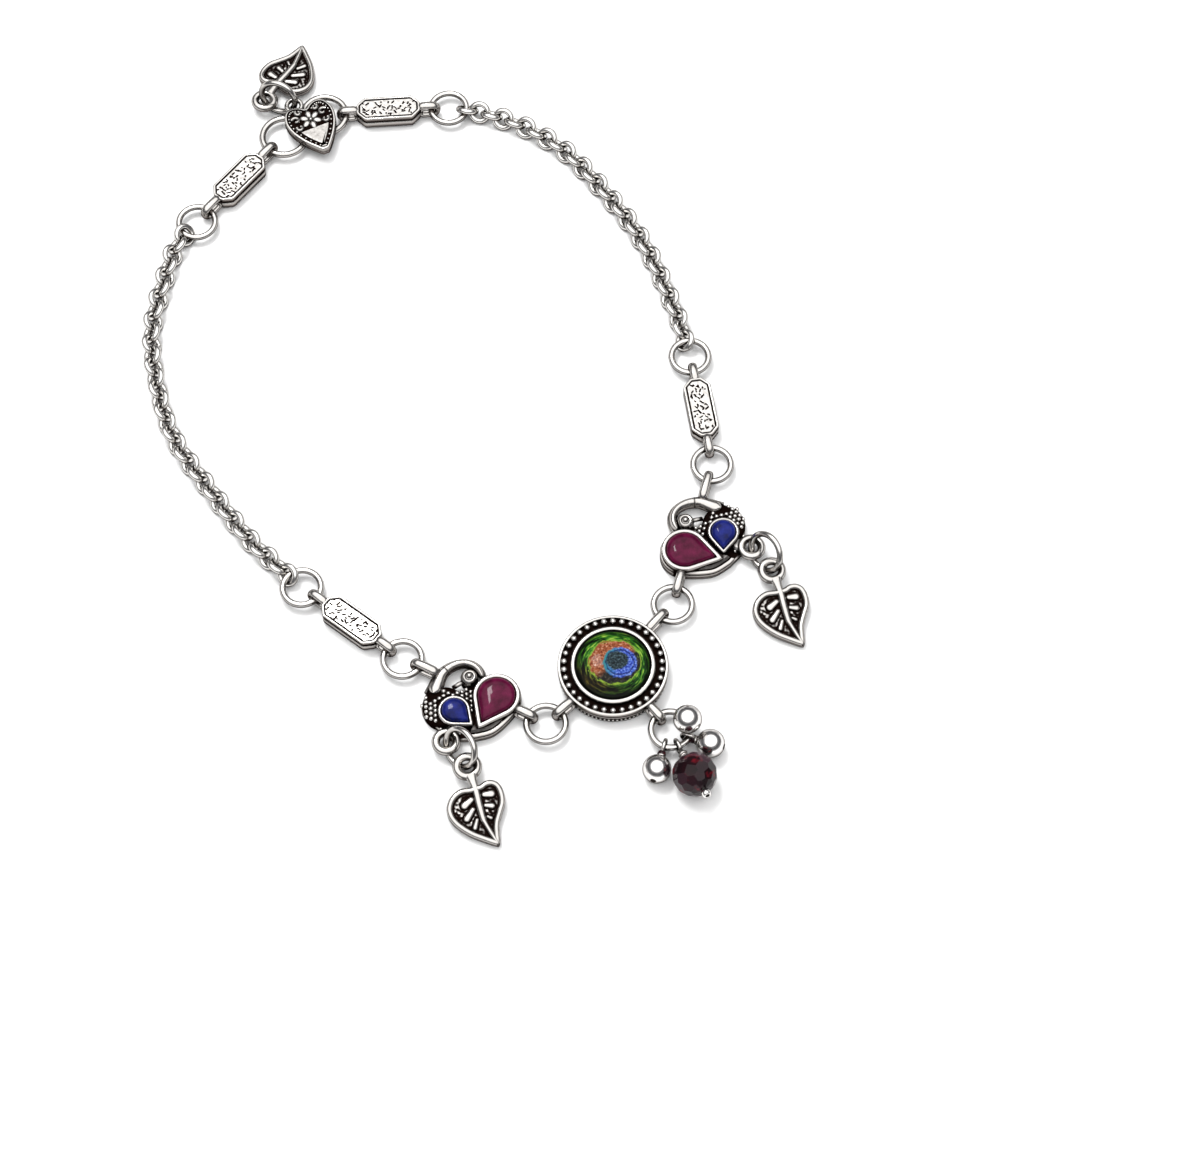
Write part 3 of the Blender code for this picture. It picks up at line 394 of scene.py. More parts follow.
def feather_material():
    """A painted peacock-feather eye under clear domed glass, laid out in millimetres from its middle."""
    material, tree, shader, place = new_material("feather_under_glass")
    laid = vectors(tree, 'SCALE', place, 1 / MM)
    blots = clouds(tree, laid, 1 / 1.3, 5.0, 0.6).node.outputs["Color"]
    bend = vectors(tree, 'SCALE', vectors(tree, 'SUBTRACT', blots, (0.5, 0.5, 0.5)), 0.9)
    moved = vectors(tree, 'ADD', laid, bend)

    def reach(middle, radii, point=moved):
        """How far a point lies from a middle, in parts of an oval's two radii."""
        away = vectors(tree, 'SUBTRACT', point, (*middle, 0))
        return vectors(tree, 'LENGTH', vectors(tree, 'MULTIPLY', away, (1 / radii[0], 1 / radii[1], 0)))

    def within(distance, inner, outer):
        """1 where the distance is less than inner, 0 past outer."""
        return spread(tree, distance, outer, inner)

    def side(way, low, high):
        """Rises from low to high along a direction."""
        return spread(tree, vectors(tree, 'DOT_PRODUCT', moved, (*way, 0)), low, high)

    def beside(distance, line):
        """How far a distance is from a line's."""
        return maths(tree, 'ABSOLUTE', maths(tree, 'SUBTRACT', distance, line))

    around = vectors(tree, 'NORMALIZE', vectors(tree, 'MULTIPLY', laid, (1, 1, 0)))
    parts = node(tree, "SeparateXYZ", {0: around}).outputs
    out = reach((0.2, 0.1), (1.0, 1.0), laid)
    twist = maths(tree, 'ADD', maths(tree, 'MULTIPLY', out, 2.6), maths(tree, 'MULTIPLY', parts["Y"], 1.5))
    barb_place = node(tree, "CombineXYZ", {0: maths(tree, 'MULTIPLY', parts["X"], 1.7),
                                           1: maths(tree, 'MULTIPLY', parts["Y"], 1.7), 2: twist}).outputs[0]
    barb = clouds(tree, barb_place, 1 / 1.5, 4.0, 0.62)
    speckle = clouds(tree, laid, 1 / 3.6, 4.0, 0.7)
    green = ramp(tree, barb, [(0.40, "040604"), (0.49, "1C4814"), (0.57, "3E8424"), (0.68, "A2C24A")])
    olive = ramp(tree, barb, [(0.42, "0A0806"), (0.56, "332C12"), (0.70, "6E6226")])
    moss = ramp(tree, barb, [(0.48, "050705"), (0.66, "2A4A18")])
    copper = ramp(tree, speckle, [(0.34, "4A2216"), (0.47, "8C4628"), (0.58, "AE6C4A"), (0.69, "E0C4AC")])
    slate = ramp(tree, speckle, [(0.38, "101212"), (0.54, "2C2A26"), (0.70, "4E4840")])
    violet = ramp(tree, speckle, [(0.34, "1A2260"), (0.47, "3248AC"), (0.57, "5C7CD4"), (0.68, "B4C8F0")])
    pupil = ramp(tree, speckle, [(0.36, "0E1416"), (0.52, "26343A"), (0.68, "5A7078")])
    ground = mix(tree, side((-0.55, -0.83), 1.2, 3.6), green, olive)
    ground = mix(tree, side((0.1, -1.0), 3.1, 4.6), ground, moss)
    heart = mix(tree, side((-0.60, 0.80), -0.75, 0.35), slate, copper)
    jagged = maths(tree, 'MULTIPLY_ADD', barb, 0.42, reach((0.2, 0.1), (3.55, 3.35)))
    oval = maths(tree, 'SUBTRACT', jagged, 0.21)
    eye = reach((0.9, 0.0), (2.35, 2.3))
    iris = mix(tree, side((1.0, -0.25), -1.1, 0.9), "2E7E88", violet)
    picture = mix(tree, within(oval, 0.93, 0.98), ground, heart)
    picture = mix(tree, within(beside(oval, 0.985), 0.008, 0.034), picture, "8CAC3A")
    picture = mix(tree, within(eye, 0.93, 1.02), picture, iris)
    picture = mix(tree, within(beside(eye, 0.80), 0.01, 0.06), picture, "161A4C")
    picture = mix(tree, within(reach((0.55, 0.3), (1.5, 1.4)), 0.88, 1.04), picture, pupil)
    # Painted shade: a band round the picture's edge goes near black where the glass meets the bezel wall.
    picture = mix(tree, within(reach((0.0, 0.0), (5.07, 5.07), laid), 0.84, 0.98), "0A0C08", picture)
    fill(tree, shader, {
        "Base Color": mix(tree, 1.0, picture, "E2E2E2", 'MULTIPLY'), "Roughness": 0.35,
        "Specular IOR Level": 0.02, "Coat Weight": 0.10, "Coat Roughness": 0.02})
    return material


FEATHER = feather_material()


def paper_material():
    """Matt white seamless paper."""
    material, tree, shader, place = new_material("white_paper")
    fill(tree, shader, {"Base Color": mix(tree, clouds(tree, place, 4 * MM, 3.0), "F6F6F5", "FAFAFA"),
                        "Roughness": 0.9})
    return material


# Shapes

def show(item):
    bpy.context.scene.collection.objects.link(item)
    return item


def finish_piece(name, bm, material, node_name, angle=40, turn=Matrix.Identity(4)):
    """Makes the object, turns its faces out, and ties it to the model."""
    bmesh.ops.recalc_face_normals(bm, faces=bm.faces[:])
    bm.transform(turn)
    if turn.determinant() < 0:
        bmesh.ops.reverse_faces(bm, faces=bm.faces[:])
    mesh = bpy.data.meshes.new(name)
    bm.to_mesh(mesh)
    bm.free()
    mesh.materials.append(material)
    mesh.shade_smooth()
    mesh.set_sharp_from_angle(angle=math.radians(angle))
    piece = show(bpy.data.objects.new(name, mesh))
    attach(piece, "root")
    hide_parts(node_name)


def merge_into(target, source, matrix=Matrix.Identity(4)):
    """Adds a moved copy of one bmesh to another."""
    mesh = bpy.data.meshes.new("moved")
    source.transform(matrix)
    source.to_mesh(mesh)
    source.free()
    target.from_mesh(mesh)
    bpy.data.meshes.remove(mesh)


def at(point, turn=0.0):
    """Moves a piece to a point, turned about its upright axis."""
    return Matrix.Translation(point) @ Matrix.Rotation(turn, 4, 'Z')


def flat(point, height=0.0):
    """A point given in millimetres."""
    return Vector((point[0] * MM, point[1] * MM, height))


def ray(angle, reach=1.0, height=0.0):
    """The point at an angle and distance round the upright axis."""
    return Vector((math.cos(angle) * reach, math.sin(angle) * reach, height))


def halfway(start, end):
    """A frame on the floor between two points with X towards the second, and half their distance."""
    run, middle = end - start, (start + end) / 2
    return at((middle.x, middle.y, 0), math.atan2(run.y, run.x)), run.length / 2


ALONG_X = Matrix.Rotation(math.pi / 2, 4, 'Y')
ON_EDGE = Matrix.Rotation(math.pi / 2, 4, 'X')


def shape():
    """An empty bmesh that can say how darkly the patina lies on each vertex, and that layer; the garnet's
    painted facet reflections and two balls' painted dark spots use the same layer.
    """
    bm = bmesh.new()
    return bm, bm.verts.layers.float.new("dark")


def only(items, kind):
    return [item for item in items if isinstance(item, kind)]


def torus(radius, wire, sides=40, wire_sides=14):
    bm, _ = shape()
    circle = bmesh.ops.create_circle(bm, segments=wire_sides, radius=wire / 2)["verts"]
    bmesh.ops.rotate(bm, verts=circle, cent=(0, 0, 0), matrix=ON_EDGE.to_3x3())
    bmesh.ops.translate(bm, verts=circle, vec=(radius, 0, 0))
    bmesh.ops.spin(bm, geom=bm.verts[:] + bm.edges[:], cent=(0, 0, 0), axis=(0, 0, 1),
                   angle=math.tau, steps=sides, use_merge=True)
    return bm


def ball(diameter, sides=24):
    bm, _ = shape()
    bmesh.ops.create_uvsphere(bm, u_segments=sides, v_segments=sides // 2, radius=diameter / 2)
    return bm


def rod(start, end, diameter, sides=16):
    """A round rod between two points on X."""
    bm, _ = shape()
    bmesh.ops.create_cone(bm, cap_ends=True, segments=sides, radius1=diameter / 2, radius2=diameter / 2,
                          depth=end - start)
    turn = Vector((1, 0, 0)).to_track_quat('Z', 'Y').to_matrix().to_4x4()
    bm.transform(at(((start + end) / 2, 0, 0)) @ turn)
    return bm


def standing_loop(seat, hole):
    """A cast loop on edge, stretched on X from its seat in the body to its place on the ring's wire."""
    bm = torus(LOOP_RADIUS, LOOP_WIRE, 32, 14)
    bm.transform(Matrix.Diagonal((1, LOOP_DRAWN, 1, 1)) @ ON_EDGE)
    for vert in bm.verts:
        if abs(vert.co.x) > LOOP_RADIUS / 100:
            vert.co.x += math.copysign((hole - seat) / 2, vert.co.x)
    bm.transform(at(((seat + hole) / 2, 0, LINE_HEIGHT)))
    return bm


def offset_outline(points, inset):
    """Moves each edge of an anticlockwise outline inwards by the inset."""
    moved = []
    for index, point in enumerate(points):
        before = (point - points[index - 1]).normalized()
        after = (points[(index + 1) % len(points)] - point).normalized()
        normal = Vector((-before.y - after.y, before.x + after.x)).normalized()
        spread_out = max(normal.dot(Vector((-before.y, before.x))), 0.5)
        moved.append(point + normal * (inset / spread_out))
    return moved


def scaled_outline(points, share):
    """Draws the outline in towards its middle; 0 leaves it and 1 makes it a point."""
    middle = sum(points, Vector((0, 0))) / len(points)
    return [middle + (point - middle) * (1 - share) for point in points]


def round_outline(middle, radius, sides):
    return [Vector(middle) + ray(math.tau * index / sides).xy * radius for index in range(sides)]


def section(start, rows, units=(TENTH, TENTH)):
    """Rows of a profile, counted in units from a start; a third number is the row's patina."""
    return [(start[0] + first * units[0], start[1] + second * units[1], *patina)
            for first, second, *patina in rows]


def stacked(outline, levels, shrink=offset_outline):
    """A closed solid: the outline at each level's height, drawn in by its amount, with its patina."""
    bm, dark = shape()
    order = bm.verts.layers.int.new("order")
    for index, point in enumerate(outline):
        bm.verts.new((point.x, point.y, 0))[order] = index
    top = bm.faces.new(bm.verts)
    for step, (height, amount, *patina) in enumerate(levels):
        if step:
            grown = bmesh.ops.extrude_face_region(bm, geom=[top])["geom"]
            if step > 1:
                bmesh.ops.delete(bm, geom=[top], context='FACES_ONLY')
            top = only(grown, BMFace)[0]
        spots = shrink(outline, amount)
        for vert in top.verts:
            vert.co = (*spots[vert[order]], height)
            vert[dark] = patina[0] if patina else 0.0
    bm.verts.layers.int.remove(order)
    return bm


def turned_solid(profile, sides=96):
    """Spins a profile of radius, height and patina that runs from the axis round the outside and back."""
    bm, dark = shape()
    verts = []
    for radius, height, *patina in profile:
        verts.append(bm.verts.new((radius, 0, height)))
        verts[-1][dark] = patina[0] if patina else 0.0
    edges = [bm.edges.new(pair) for pair in zip(verts, verts[1:])]
    bmesh.ops.spin(bm, geom=verts + edges, cent=(0, 0, 0), axis=(0, 0, 1), angle=math.tau, steps=sides,
                   use_merge=True)
    bmesh.ops.remove_doubles(bm, verts=bm.verts[:], dist=0.0005 * MM)
    return bm


def sweep(points, sizes, sides=12, closed=False, darks=None):
    """A rod along the points; each size is half its width and half its height there."""
    bm, dark = shape()
    count = len(points)
    frames = []
    for index, (point, (wide, high)) in enumerate(zip(points, sizes)):
        before = points[index - 1] if closed or index else point
        after = points[(index + 1) % count] if closed or index < count - 1 else point
        ahead = (after - before).normalized()
        side = ahead.cross(Vector((0, 0, 1))).normalized()
        turn = Matrix((side * wide, side.cross(ahead) * high, ahead * wide)).transposed().to_4x4()
        frames.append(Matrix.Translation(point) @ turn)
    verts = bmesh.ops.create_circle(bm, segments=sides, radius=1.0)["verts"]
    edges = start_edges = list({edge for vert in verts for edge in vert.link_edges})
    move = frames[0]
    for index in range(count):
        if index:
            grown = bmesh.ops.extrude_edge_only(bm, edges=edges)["geom"]
            verts, edges = only(grown, BMVert), only(grown, BMEdge)
            move = frames[index] @ frames[index - 1].inverted()
        bmesh.ops.transform(bm, matrix=move, verts=verts)
        for vert in verts:
            vert[dark] = darks[index] if darks else 0.0
    if closed:
        bmesh.ops.bridge_loops(bm, edges=start_edges + edges)
    else:
        bmesh.ops.contextual_create(bm, geom=start_edges)
        bmesh.ops.contextual_create(bm, geom=edges)
    return bm


def smooth(points, steps, closed=False):
    """A smooth curve through the points, closed or from the first to the last."""
    curve, last = [], len(points) - 1
    for index in range(last + closed):
        near = [index + shift for shift in (-1, 0, 1, 2)]
        before, start, end, after = (
            points[place % (last + 1) if closed else min(max(place, 0), last)] for place in near)
        for step in range(steps):
            t = step / steps
            curve.append(0.5 * (2 * start + (end - before) * t
                                + (2 * before - 5 * start + 4 * end - after) * t ** 2
                                + (3 * start - before - 3 * end + after) * t ** 3))
    return curve if closed else curve + [points[-1]]


def cut_away(bm, point, way, near=1e-7):
    """Cuts off all that lies past a plane, and gives the edges of the cut."""
    cut = bmesh.ops.bisect_plane(bm, geom=bm.verts[:] + bm.edges[:] + bm.faces[:], dist=near,
                                 plane_co=point, plane_no=way, clear_outer=True)["geom_cut"]
    return only(cut, BMEdge)


def close_below(bm):
    """Walls a relief down from its edge, closes it, and gives the lower vertices."""
    grown = bmesh.ops.extrude_edge_only(bm, edges=[edge for edge in bm.edges if edge.is_boundary])["geom"]
    low = only(grown, BMVert)
    for vert in low:
        vert.co.z = -RELIEF_DEPTH
    bmesh.ops.edgenet_fill(bm, edges=only(grown, BMEdge))
    return low


def share_along(spot, start, end):
    """How far along a line a spot lies, from 0 to 1."""
    run = end - start
    return max(0.0, min(1.0, (spot - start).dot(run) / max(run.length_squared, 1e-12)))


def inside(point, outline):
    """Whether a point lies within a closed outline."""
    hits = 0
    for index, end in enumerate(outline):
        start = outline[index - 1]
        if (start.y > point.y) != (end.y > point.y):
            if point.x < (end.x - start.x) * (point.y - start.y) / (end.y - start.y) + start.x:
                hits += 1
    return hits % 2 == 1


def chance_size(size):
    return size * random.uniform(0.94, 1.06)


# Jump rings and chain

def ring_wire_point(ring, toward):
    """The middle of a lying ring's wire on the side towards a point."""
    middle = flat(RING_PLACES[ring], LINE_HEIGHT)
    away = (toward - middle) * Vector((1, 1, 0))
    return middle + away.normalized() * RING_RADIUS


def make_ring(name, turn):
    finish_piece(name + "_wire", torus(RING_RADIUS, RING_WIRE * RING_DRAWN, 56, 16), WIRE, name,
                 angle=80, turn=turn)


def make_chain(name, first_ring, last_ring):
    route = [RING_PLACES[first_ring]] + CHAIN_ROUTES[name] + [RING_PLACES[last_ring]]
    dense = smooth([flat(point) for point in route], 40)
    reach = [0.0]
    for start, end in zip(dense, dense[1:]):
        reach.append(reach[-1] + (end - start).length)

    def point_at(distance):
        for index in range(1, len(reach)):
            if reach[index] >= distance:
                share = (distance - reach[index - 1]) / (reach[index] - reach[index - 1])
                return dense[index - 1].lerp(dense[index], share)
        return dense[-1]

    first = RING_RADIUS + LINK_OUTER / 2 - LINK_WIRE - RING_WIRE / 2 - HOOK_GAP
    run = reach[-1] - 2 * first
    steps = int(run // (LINK_OUTER - 2 * LINK_WIRE + LINK_BITE))
    low = LINK_RADIUS * math.sin(LINK_TURN) + LINK_WIRE / 2
    strand, _ = shape()
    for index in range(steps + 1):
        distance = first + run * index / steps
        here = point_at(distance)
        ahead = point_at(distance + LINK_WIRE) - point_at(distance - LINK_WIRE)
        nearest_end = min(distance, reach[-1] - distance) - first
        here.z = low + (LINE_HEIGHT - low) * max(0.0, 1.0 - nearest_end / RISE_LENGTH)
        lean = Matrix.Rotation(LINK_TURN if index % 2 else -LINK_TURN, 4, 'X')
        merge_into(strand, torus(LINK_RADIUS, LINK_WIRE * LINK_DRAWN, 32, 12),
                   at(here, math.atan2(ahead.y, ahead.x)) @ lean)
    finish_piece(name + "_links", strand, CHAIN, name, angle=80)


# Bars

def bar_outline():
    """An octagon, long on X, with its corners eased."""
    quarter = [(BAR_LENGTH / 2, BAR_END_WIDTH / 2), (BAR_FLAT / 2, BAR_WIDTH / 2)]
    half = [(quarter[0][0], -quarter[0][1]), *quarter, (-quarter[1][0], quarter[1][1])]
    corners = [Vector((side * x, side * y)) for side in (1, -1) for x, y in half]
    eased = []
    for index, corner in enumerate(corners):
        for other in (corners[index - 1], corners[(index + 1) % len(corners)]):
            eased.append(corner + (other - corner).normalized() * BAR_EASED)
    return eased


def chasing_marks(chance, length, width):
    """Short punched dashes, commas and dots: their two ends and half their width."""
    marks = []
    for column in range(CHASING_COLUMNS):
        for row in range(CHASING_ROWS):
            if chance.random() < CHASING_GAPS:
                continue
            middle = Vector(
                (((column + 0.5 + chance.uniform(-0.45, 0.45)) / CHASING_COLUMNS * 0.92 - 0.46) * length,
                 ((row + 0.5 + chance.uniform(-0.4, 0.4)) / CHASING_ROWS * 0.84 - 0.42) * width))
            way = chance.choice((0.4, 0.9, 1.5, 2.2, 2.8)) + chance.uniform(-0.3, 0.3)
            half = ray(way).xy * chance.uniform(0.03, 0.26) * MM
            marks.append((middle - half, middle + half, chance.uniform(0.055, 0.09) * MM))
    return marks


def chased_face(seed):
    """The sunk face of a bar with its punched marks, as a slab."""
    length, width = BAR_LENGTH - 2 * BAR_FACE_INSET, BAR_WIDTH - 2 * BAR_FACE_INSET
    marks = chasing_marks(random.Random(seed), length, width)
    bm, dark = shape()
    bmesh.ops.create_grid(bm, x_segments=190, y_segments=72, size=0.5)
    bm.transform(Matrix.Diagonal((length, width, 1, 1)))
    outline = offset_outline(bar_outline(), BAR_FACE_INSET)
    for index, corner in enumerate(outline):
        run = corner - outline[index - 1]
        cut_away(bm, (*corner, 0), (run.y, -run.x, 0))
    for vert in bm.verts:
        spot = vert.co.xy
        worn = noise.noise(Vector((spot.x, spot.y, seed * MM)) / (0.45 * MM))
        vert.co.z = worn * 0.02 * MM
        vert[dark] = 0.16 + 0.22 * worn
        for start, end, half in marks:
            gap = (spot - start - (end - start) * share_along(spot, start, end)).length
            if gap < half * CHASING_REACH:
                depth = min(1.0, (CHASING_REACH - gap / half) / (CHASING_REACH / 2))
                vert.co.z = min(vert.co.z, -CHASING_DEPTH * depth)
                vert[dark] = max(vert[dark], depth * 0.95)
    for edge in bm.edges:
        if edge.is_boundary:
            for vert in edge.verts:
                vert[dark] = 0.45
    for vert in close_below(bm):
        vert[dark] = 1.0
    return bm


def make_bar(name, start, end, seed):
    spot, hole = halfway(start, end)
    low, high = BAR_FLOOR_GAP, BAR_FLOOR_GAP + BAR_THICK
    groove, rim, sink = BAR_GROOVE / TENTH, BAR_RIM / TENTH, BAR_SINK / TENTH
    body = stacked(bar_outline(), (
        section((low, 0), [(0, groove + 1, 0.3), (1, groove * 0.4), (groove + 1, 0)])
        + section((low + BAR_THICK * 0.5, 0), [(-0.5, 0), (0, groove * 0.35), (0.4, groove, 0.45)])
        + section((low + BAR_THICK * 0.64, 0), [(-0.4, groove, 0.45), (0, groove * 0.35), (0.5, 0)])
        + section((high, 0), [(-1, 0), (-0.3, 0.3), (0, 1), (0, rim - 0.6), (-0.4, rim),
                              (-sink * 0.5, rim * 1.08, 1.0), (-sink, rim * 1.15, 1.0)])))
    for turn in (0, math.pi):
        merge_into(body, standing_loop(BAR_LENGTH / 2 + LOOP_SEAT_OUT, hole), Matrix.Rotation(turn, 4, 'Z'))
    finish_piece(name + "_body", body, CAST, name, angle=50, turn=spot)
    finish_piece(name + "_face", chased_face(seed), CAST, name, angle=60,
                 turn=spot @ at((0, 0, high - BAR_SINK * 0.4)))


# Medallion

def make_medallion():
    side, thick, bezel = MEDALLION_RADIUS, MEDALLION_THICK, BEZEL_RADIUS
    channel, top = thick - CHANNEL_SINK, thick + BEZEL_RISE
    cup, cup_floor = bezel - BEZEL_WALL, top - CUP_DEPTH
    inner = side - RIM_WALL
    soft = 0.08 * MM
    bm = turned_solid(
        [(0, cup_floor, 1.0), (cup, cup_floor, 1.0)]
        + section((cup, top), [(0, -3, 0.9), (0.3, -1), (1, -0.3), (2, 0)], (soft, soft))
        + section((bezel, top), [(-3, 0), (-1.2, -0.5), (-0.3, -1.4), (0, -3, 0.2)], (soft, soft))
        + [(bezel, channel + soft, 1.0), (bezel, channel, 1.0), (inner, channel, 1.0)]
        + section((inner, thick), [(0, -2, 0.8), (0.4, -0.5), (1.2, 0)], (soft, soft))
        + section((side, thick), [(-2, 0), (-0.6, -0.6), (0, -2)], (soft, soft))
        + section((side, 0), [(0, 0.80), (-1, 0.77), (-3, 0.76, 0.8), (-3.6, 0.70, 1.0), (-3, 0.64, 0.8),
                              (-1, 0.63), (-0.4, 0.58), (-1, 0.52), (-3, 0.50, 0.8), (-3.6, 0.42, 1.0),
                              (-3.4, 0.36, 0.8), (-3.4, 0.06, 0.6), (-4.5, 0)], (soft, thick))
        + [(0, 0)], 128)
    for ring in ("ring_medallion_left", "ring_medallion_right", "ring_cluster"):
        middle = flat(RING_PLACES[ring])
        merge_into(bm, standing_loop(side + LOOP_SEAT_OUT, middle.length - RING_RADIUS),
                   Matrix.Rotation(math.atan2(middle.y, middle.x), 4, 'Z'))
    finish_piece("medallion_cup", bm, CAST, "medallion_setting")
    beads, _ = shape()
    for index in range(RIM_BEADS):
        spot = ray(math.tau * (index + 0.5) / RIM_BEADS, inner - RIM_BEAD_INSET, channel + RIM_BEAD_LIFT)
        merge_into(beads, ball(chance_size(RIM_BEAD), 14), at(spot))
    for index in range(SIDE_BEADS):
        spot = ray(math.tau * index / SIDE_BEADS, side - 3.2 * soft, thick * 0.2)
        merge_into(beads, ball(SIDE_BEAD, 8), at(spot) @ Matrix.Diagonal((1, 1, 2.0, 1)))
    finish_piece("medallion_beads", beads, GRAIN, "medallion_setting", angle=80)
    edge, seat = cup - STONE_GAP, cup_floor + STONE_GAP
    turns = [math.pi / 2 * step / 16 for step in range(17)]
    dome = [(math.sin(turn), math.cos(turn)) for turn in turns]
    profile = section((0, top - BEZEL_RISE), dome, (edge, DOME_RISE))
    finish_piece("medallion_glass", turned_solid(profile + [(edge, seat), (0, seat)]), FEATHER,
                 "medallion_stone")


# Peacock settings

def pear_outline(stone, grow, sides=56, side_steps=6):
    """A circle drawn out to a point on X, a little blunted."""
    radius, tip = stone["radius"] + grow, stone["tip"] + grow * stone["tip"] / stone["radius"]
    tangent = math.acos(radius / tip)
    arc = math.tau - 2 * tangent
    points = [ray(tangent + arc * index / sides).xy * radius for index in range(sides + 1)]
    last, first, end = points[-1], points[0], Vector((tip, 0))
    shares = [step / side_steps for step in range(1, side_steps)]
    return (points + [last.lerp(end, share) for share in shares] + [end - Vector((radius * 0.06, 0))]
            + [end.lerp(first, share) for share in shares])


def pear_place(stone):
    return at((*stone["place"], 0), stone["turn"])


def neck_curve():
    """The neck's middle line with half its width there."""
    points = smooth([Vector((along, across, 0)) * NECK_REACH for along, across, _ in NECK_SECTIONS], 5)
    halves = smooth([Vector((half, 0, 0)) * NECK_REACH for _, _, half in NECK_SECTIONS], 5)
    return points, [half.x for half in halves]


def peacock_neck(bm):
    """The tapered neck with two dark bands across it, and the wire along its outer edge."""
    spine, halves = neck_curve()
    points, sizes, darks, rims = [], [], [], []
    for index, (point, half) in enumerate(zip(spine, halves)):
        share = index / (len(spine) - 1)
        ends = min(1.0, (1.03 - share) * 8, share * 14 + 0.03) ** 0.5
        ahead = spine[min(index + 1, len(spine) - 1)] - spine[max(index - 1, 0)]
        outward = Vector((-ahead.y, ahead.x, 0)).normalized()
        points.append(point + Vector((0, 0, NECK_HEIGHT - NECK_THICK)))
        sizes.append((half * ends, NECK_THICK * (0.72 + 0.28 * ends)))
        darks.append(sum(depth * math.exp(-((share - band) / 0.010) ** 2)
                         for depth, band in ((0.55, 0.34), (0.5, 0.42))))
        rims.append(point + outward * half * 1.02 + Vector((0, 0, PLATE_THICK)))
    merge_into(bm, sweep(points, sizes, 24, darks=darks))
    merge_into(bm, sweep(rims, [(2.4 * TENTH, 3.2 * TENTH)] * len(rims), 10))


def peacock_skirt(plate):
    """The wall with its beaded edge that stands round the tail."""
    top = PLATE_THICK + SKIRT_RISE
    skirt = stacked(plate, section((0, 0), [(0.5, 1.5, 0.9), (0.9, 1.5, 0.9), (1, 0.6)], (PLATE_THICK, TENTH))
                    + section((top, 0), [(-2, 0), (-0.6, 0.6), (0, 2), (0, 3.6), (-1.2, 4.4, 1.0),
                                         (-1.2, 5, 1.0), (1, 5.8, 0.25), (4, 9, 0.4)]))
    bmesh.ops.edgenet_fill(skirt, edges=cut_away(skirt, (SKIRT_START, 0, 0), (-1, 0, 0)))
    return skirt


def stone_cup(stone):
    high, wall = stone["height"], stone["wall"]
    return stacked(pear_outline(stone, wall), (
        [(0, 0, 0.8), (PLATE_THICK, 0, 1.0)]
        + section((high, 0), [(-5, 0, 0.35), (-2.4, 0), (-1.2, 0.35), (-0.3, 1.1), (0, 2.2)])
        + section((high, wall), [(0, -1.6), (-0.4, -0.7), (-1.2, -0.15, 0.3), (-2.2, 0, 1.0)])
        + [(PEACOCK_FLOOR, wall, 1.0)]))


def peacock_body():
    """Base plate, breast, neck, head, tail wall, stone cups and drop lug of one setting."""
    plate = smooth([Vector(share) * PLATE_REACH for share in PLATE_OUTLINE], 5, closed=True)
    bm = stacked(plate, (
        section((0, 0), [(0, 2, 0.5), (1, 0.4, 0.3), (2, 0)])
        + section((0, 0), [(0.42, 0), (0.48, 1, 0.9), (0.56, 1, 0.9), (0.62, 0), (0.85, 0), (0.96, 0.4),
                           (1, 1.4, 0.3), (1, 3, 1.0)], (PLATE_THICK, TENTH))))
    merge_into(bm, stacked(round_outline(BREAST_PLACE, BREAST_RADIUS, 48), section(
        (0, 0), [(0, 0, 1.0), (0.6, 0, 1.0), (0.8, 1.5, 1.0), (0.9, 4, 1.0)], (BREAST_HEIGHT, TENTH))))
    peacock_neck(bm)
    merge_into(bm, stacked(round_outline(HEAD_PLACE, HEAD_RADIUS, 40), (
        section((0, 0), [(0, 0, 0.6), (0.68, 0, 0.2), (0.86, 0.6), (0.97, 2.2)], (HEAD_HEIGHT, TENTH))
        + section((HEAD_HEIGHT, 0), [(0.6, 4.2), (0.4, 5.6), (-0.6, 6.2, 0.3), (0, 6.9, 0.1), (0.6, 8)]))))
    merge_into(bm, ball(STUD_RADIUS * 1.7, 24), at((*HEAD_PLACE, HEAD_HEIGHT + 1.2 * TENTH)))
    merge_into(bm, peacock_skirt(plate))
    base = PLATE_THICK * 0.7
    strut = [flat(point, base + lift * TENTH)
             for point, lift in (((-2.9, -0.6), 0), ((-2.3, 0.1), 5), ((-1.9, 0.7), 5))]
    merge_into(bm, sweep(strut, [(3.2 * TENTH, 3 * TENTH)] * 3, 10, darks=[0.7, 0.1, 0.3]))
    for stone in (MAGENTA, BLUE):
        merge_into(bm, stone_cup(stone), pear_place(stone))
    lug = round_outline((DROP_LOOP_PLACE[0], DROP_LOOP_PLACE[1] + EYE_OUTER / 2), EYE_WIRE, 24)
    merge_into(bm, stacked(lug, [(0, 0), (EYE_HEIGHT, 0), (EYE_HEIGHT + EYE_WIRE / 4, 2.5 * TENTH)]))
    return bm


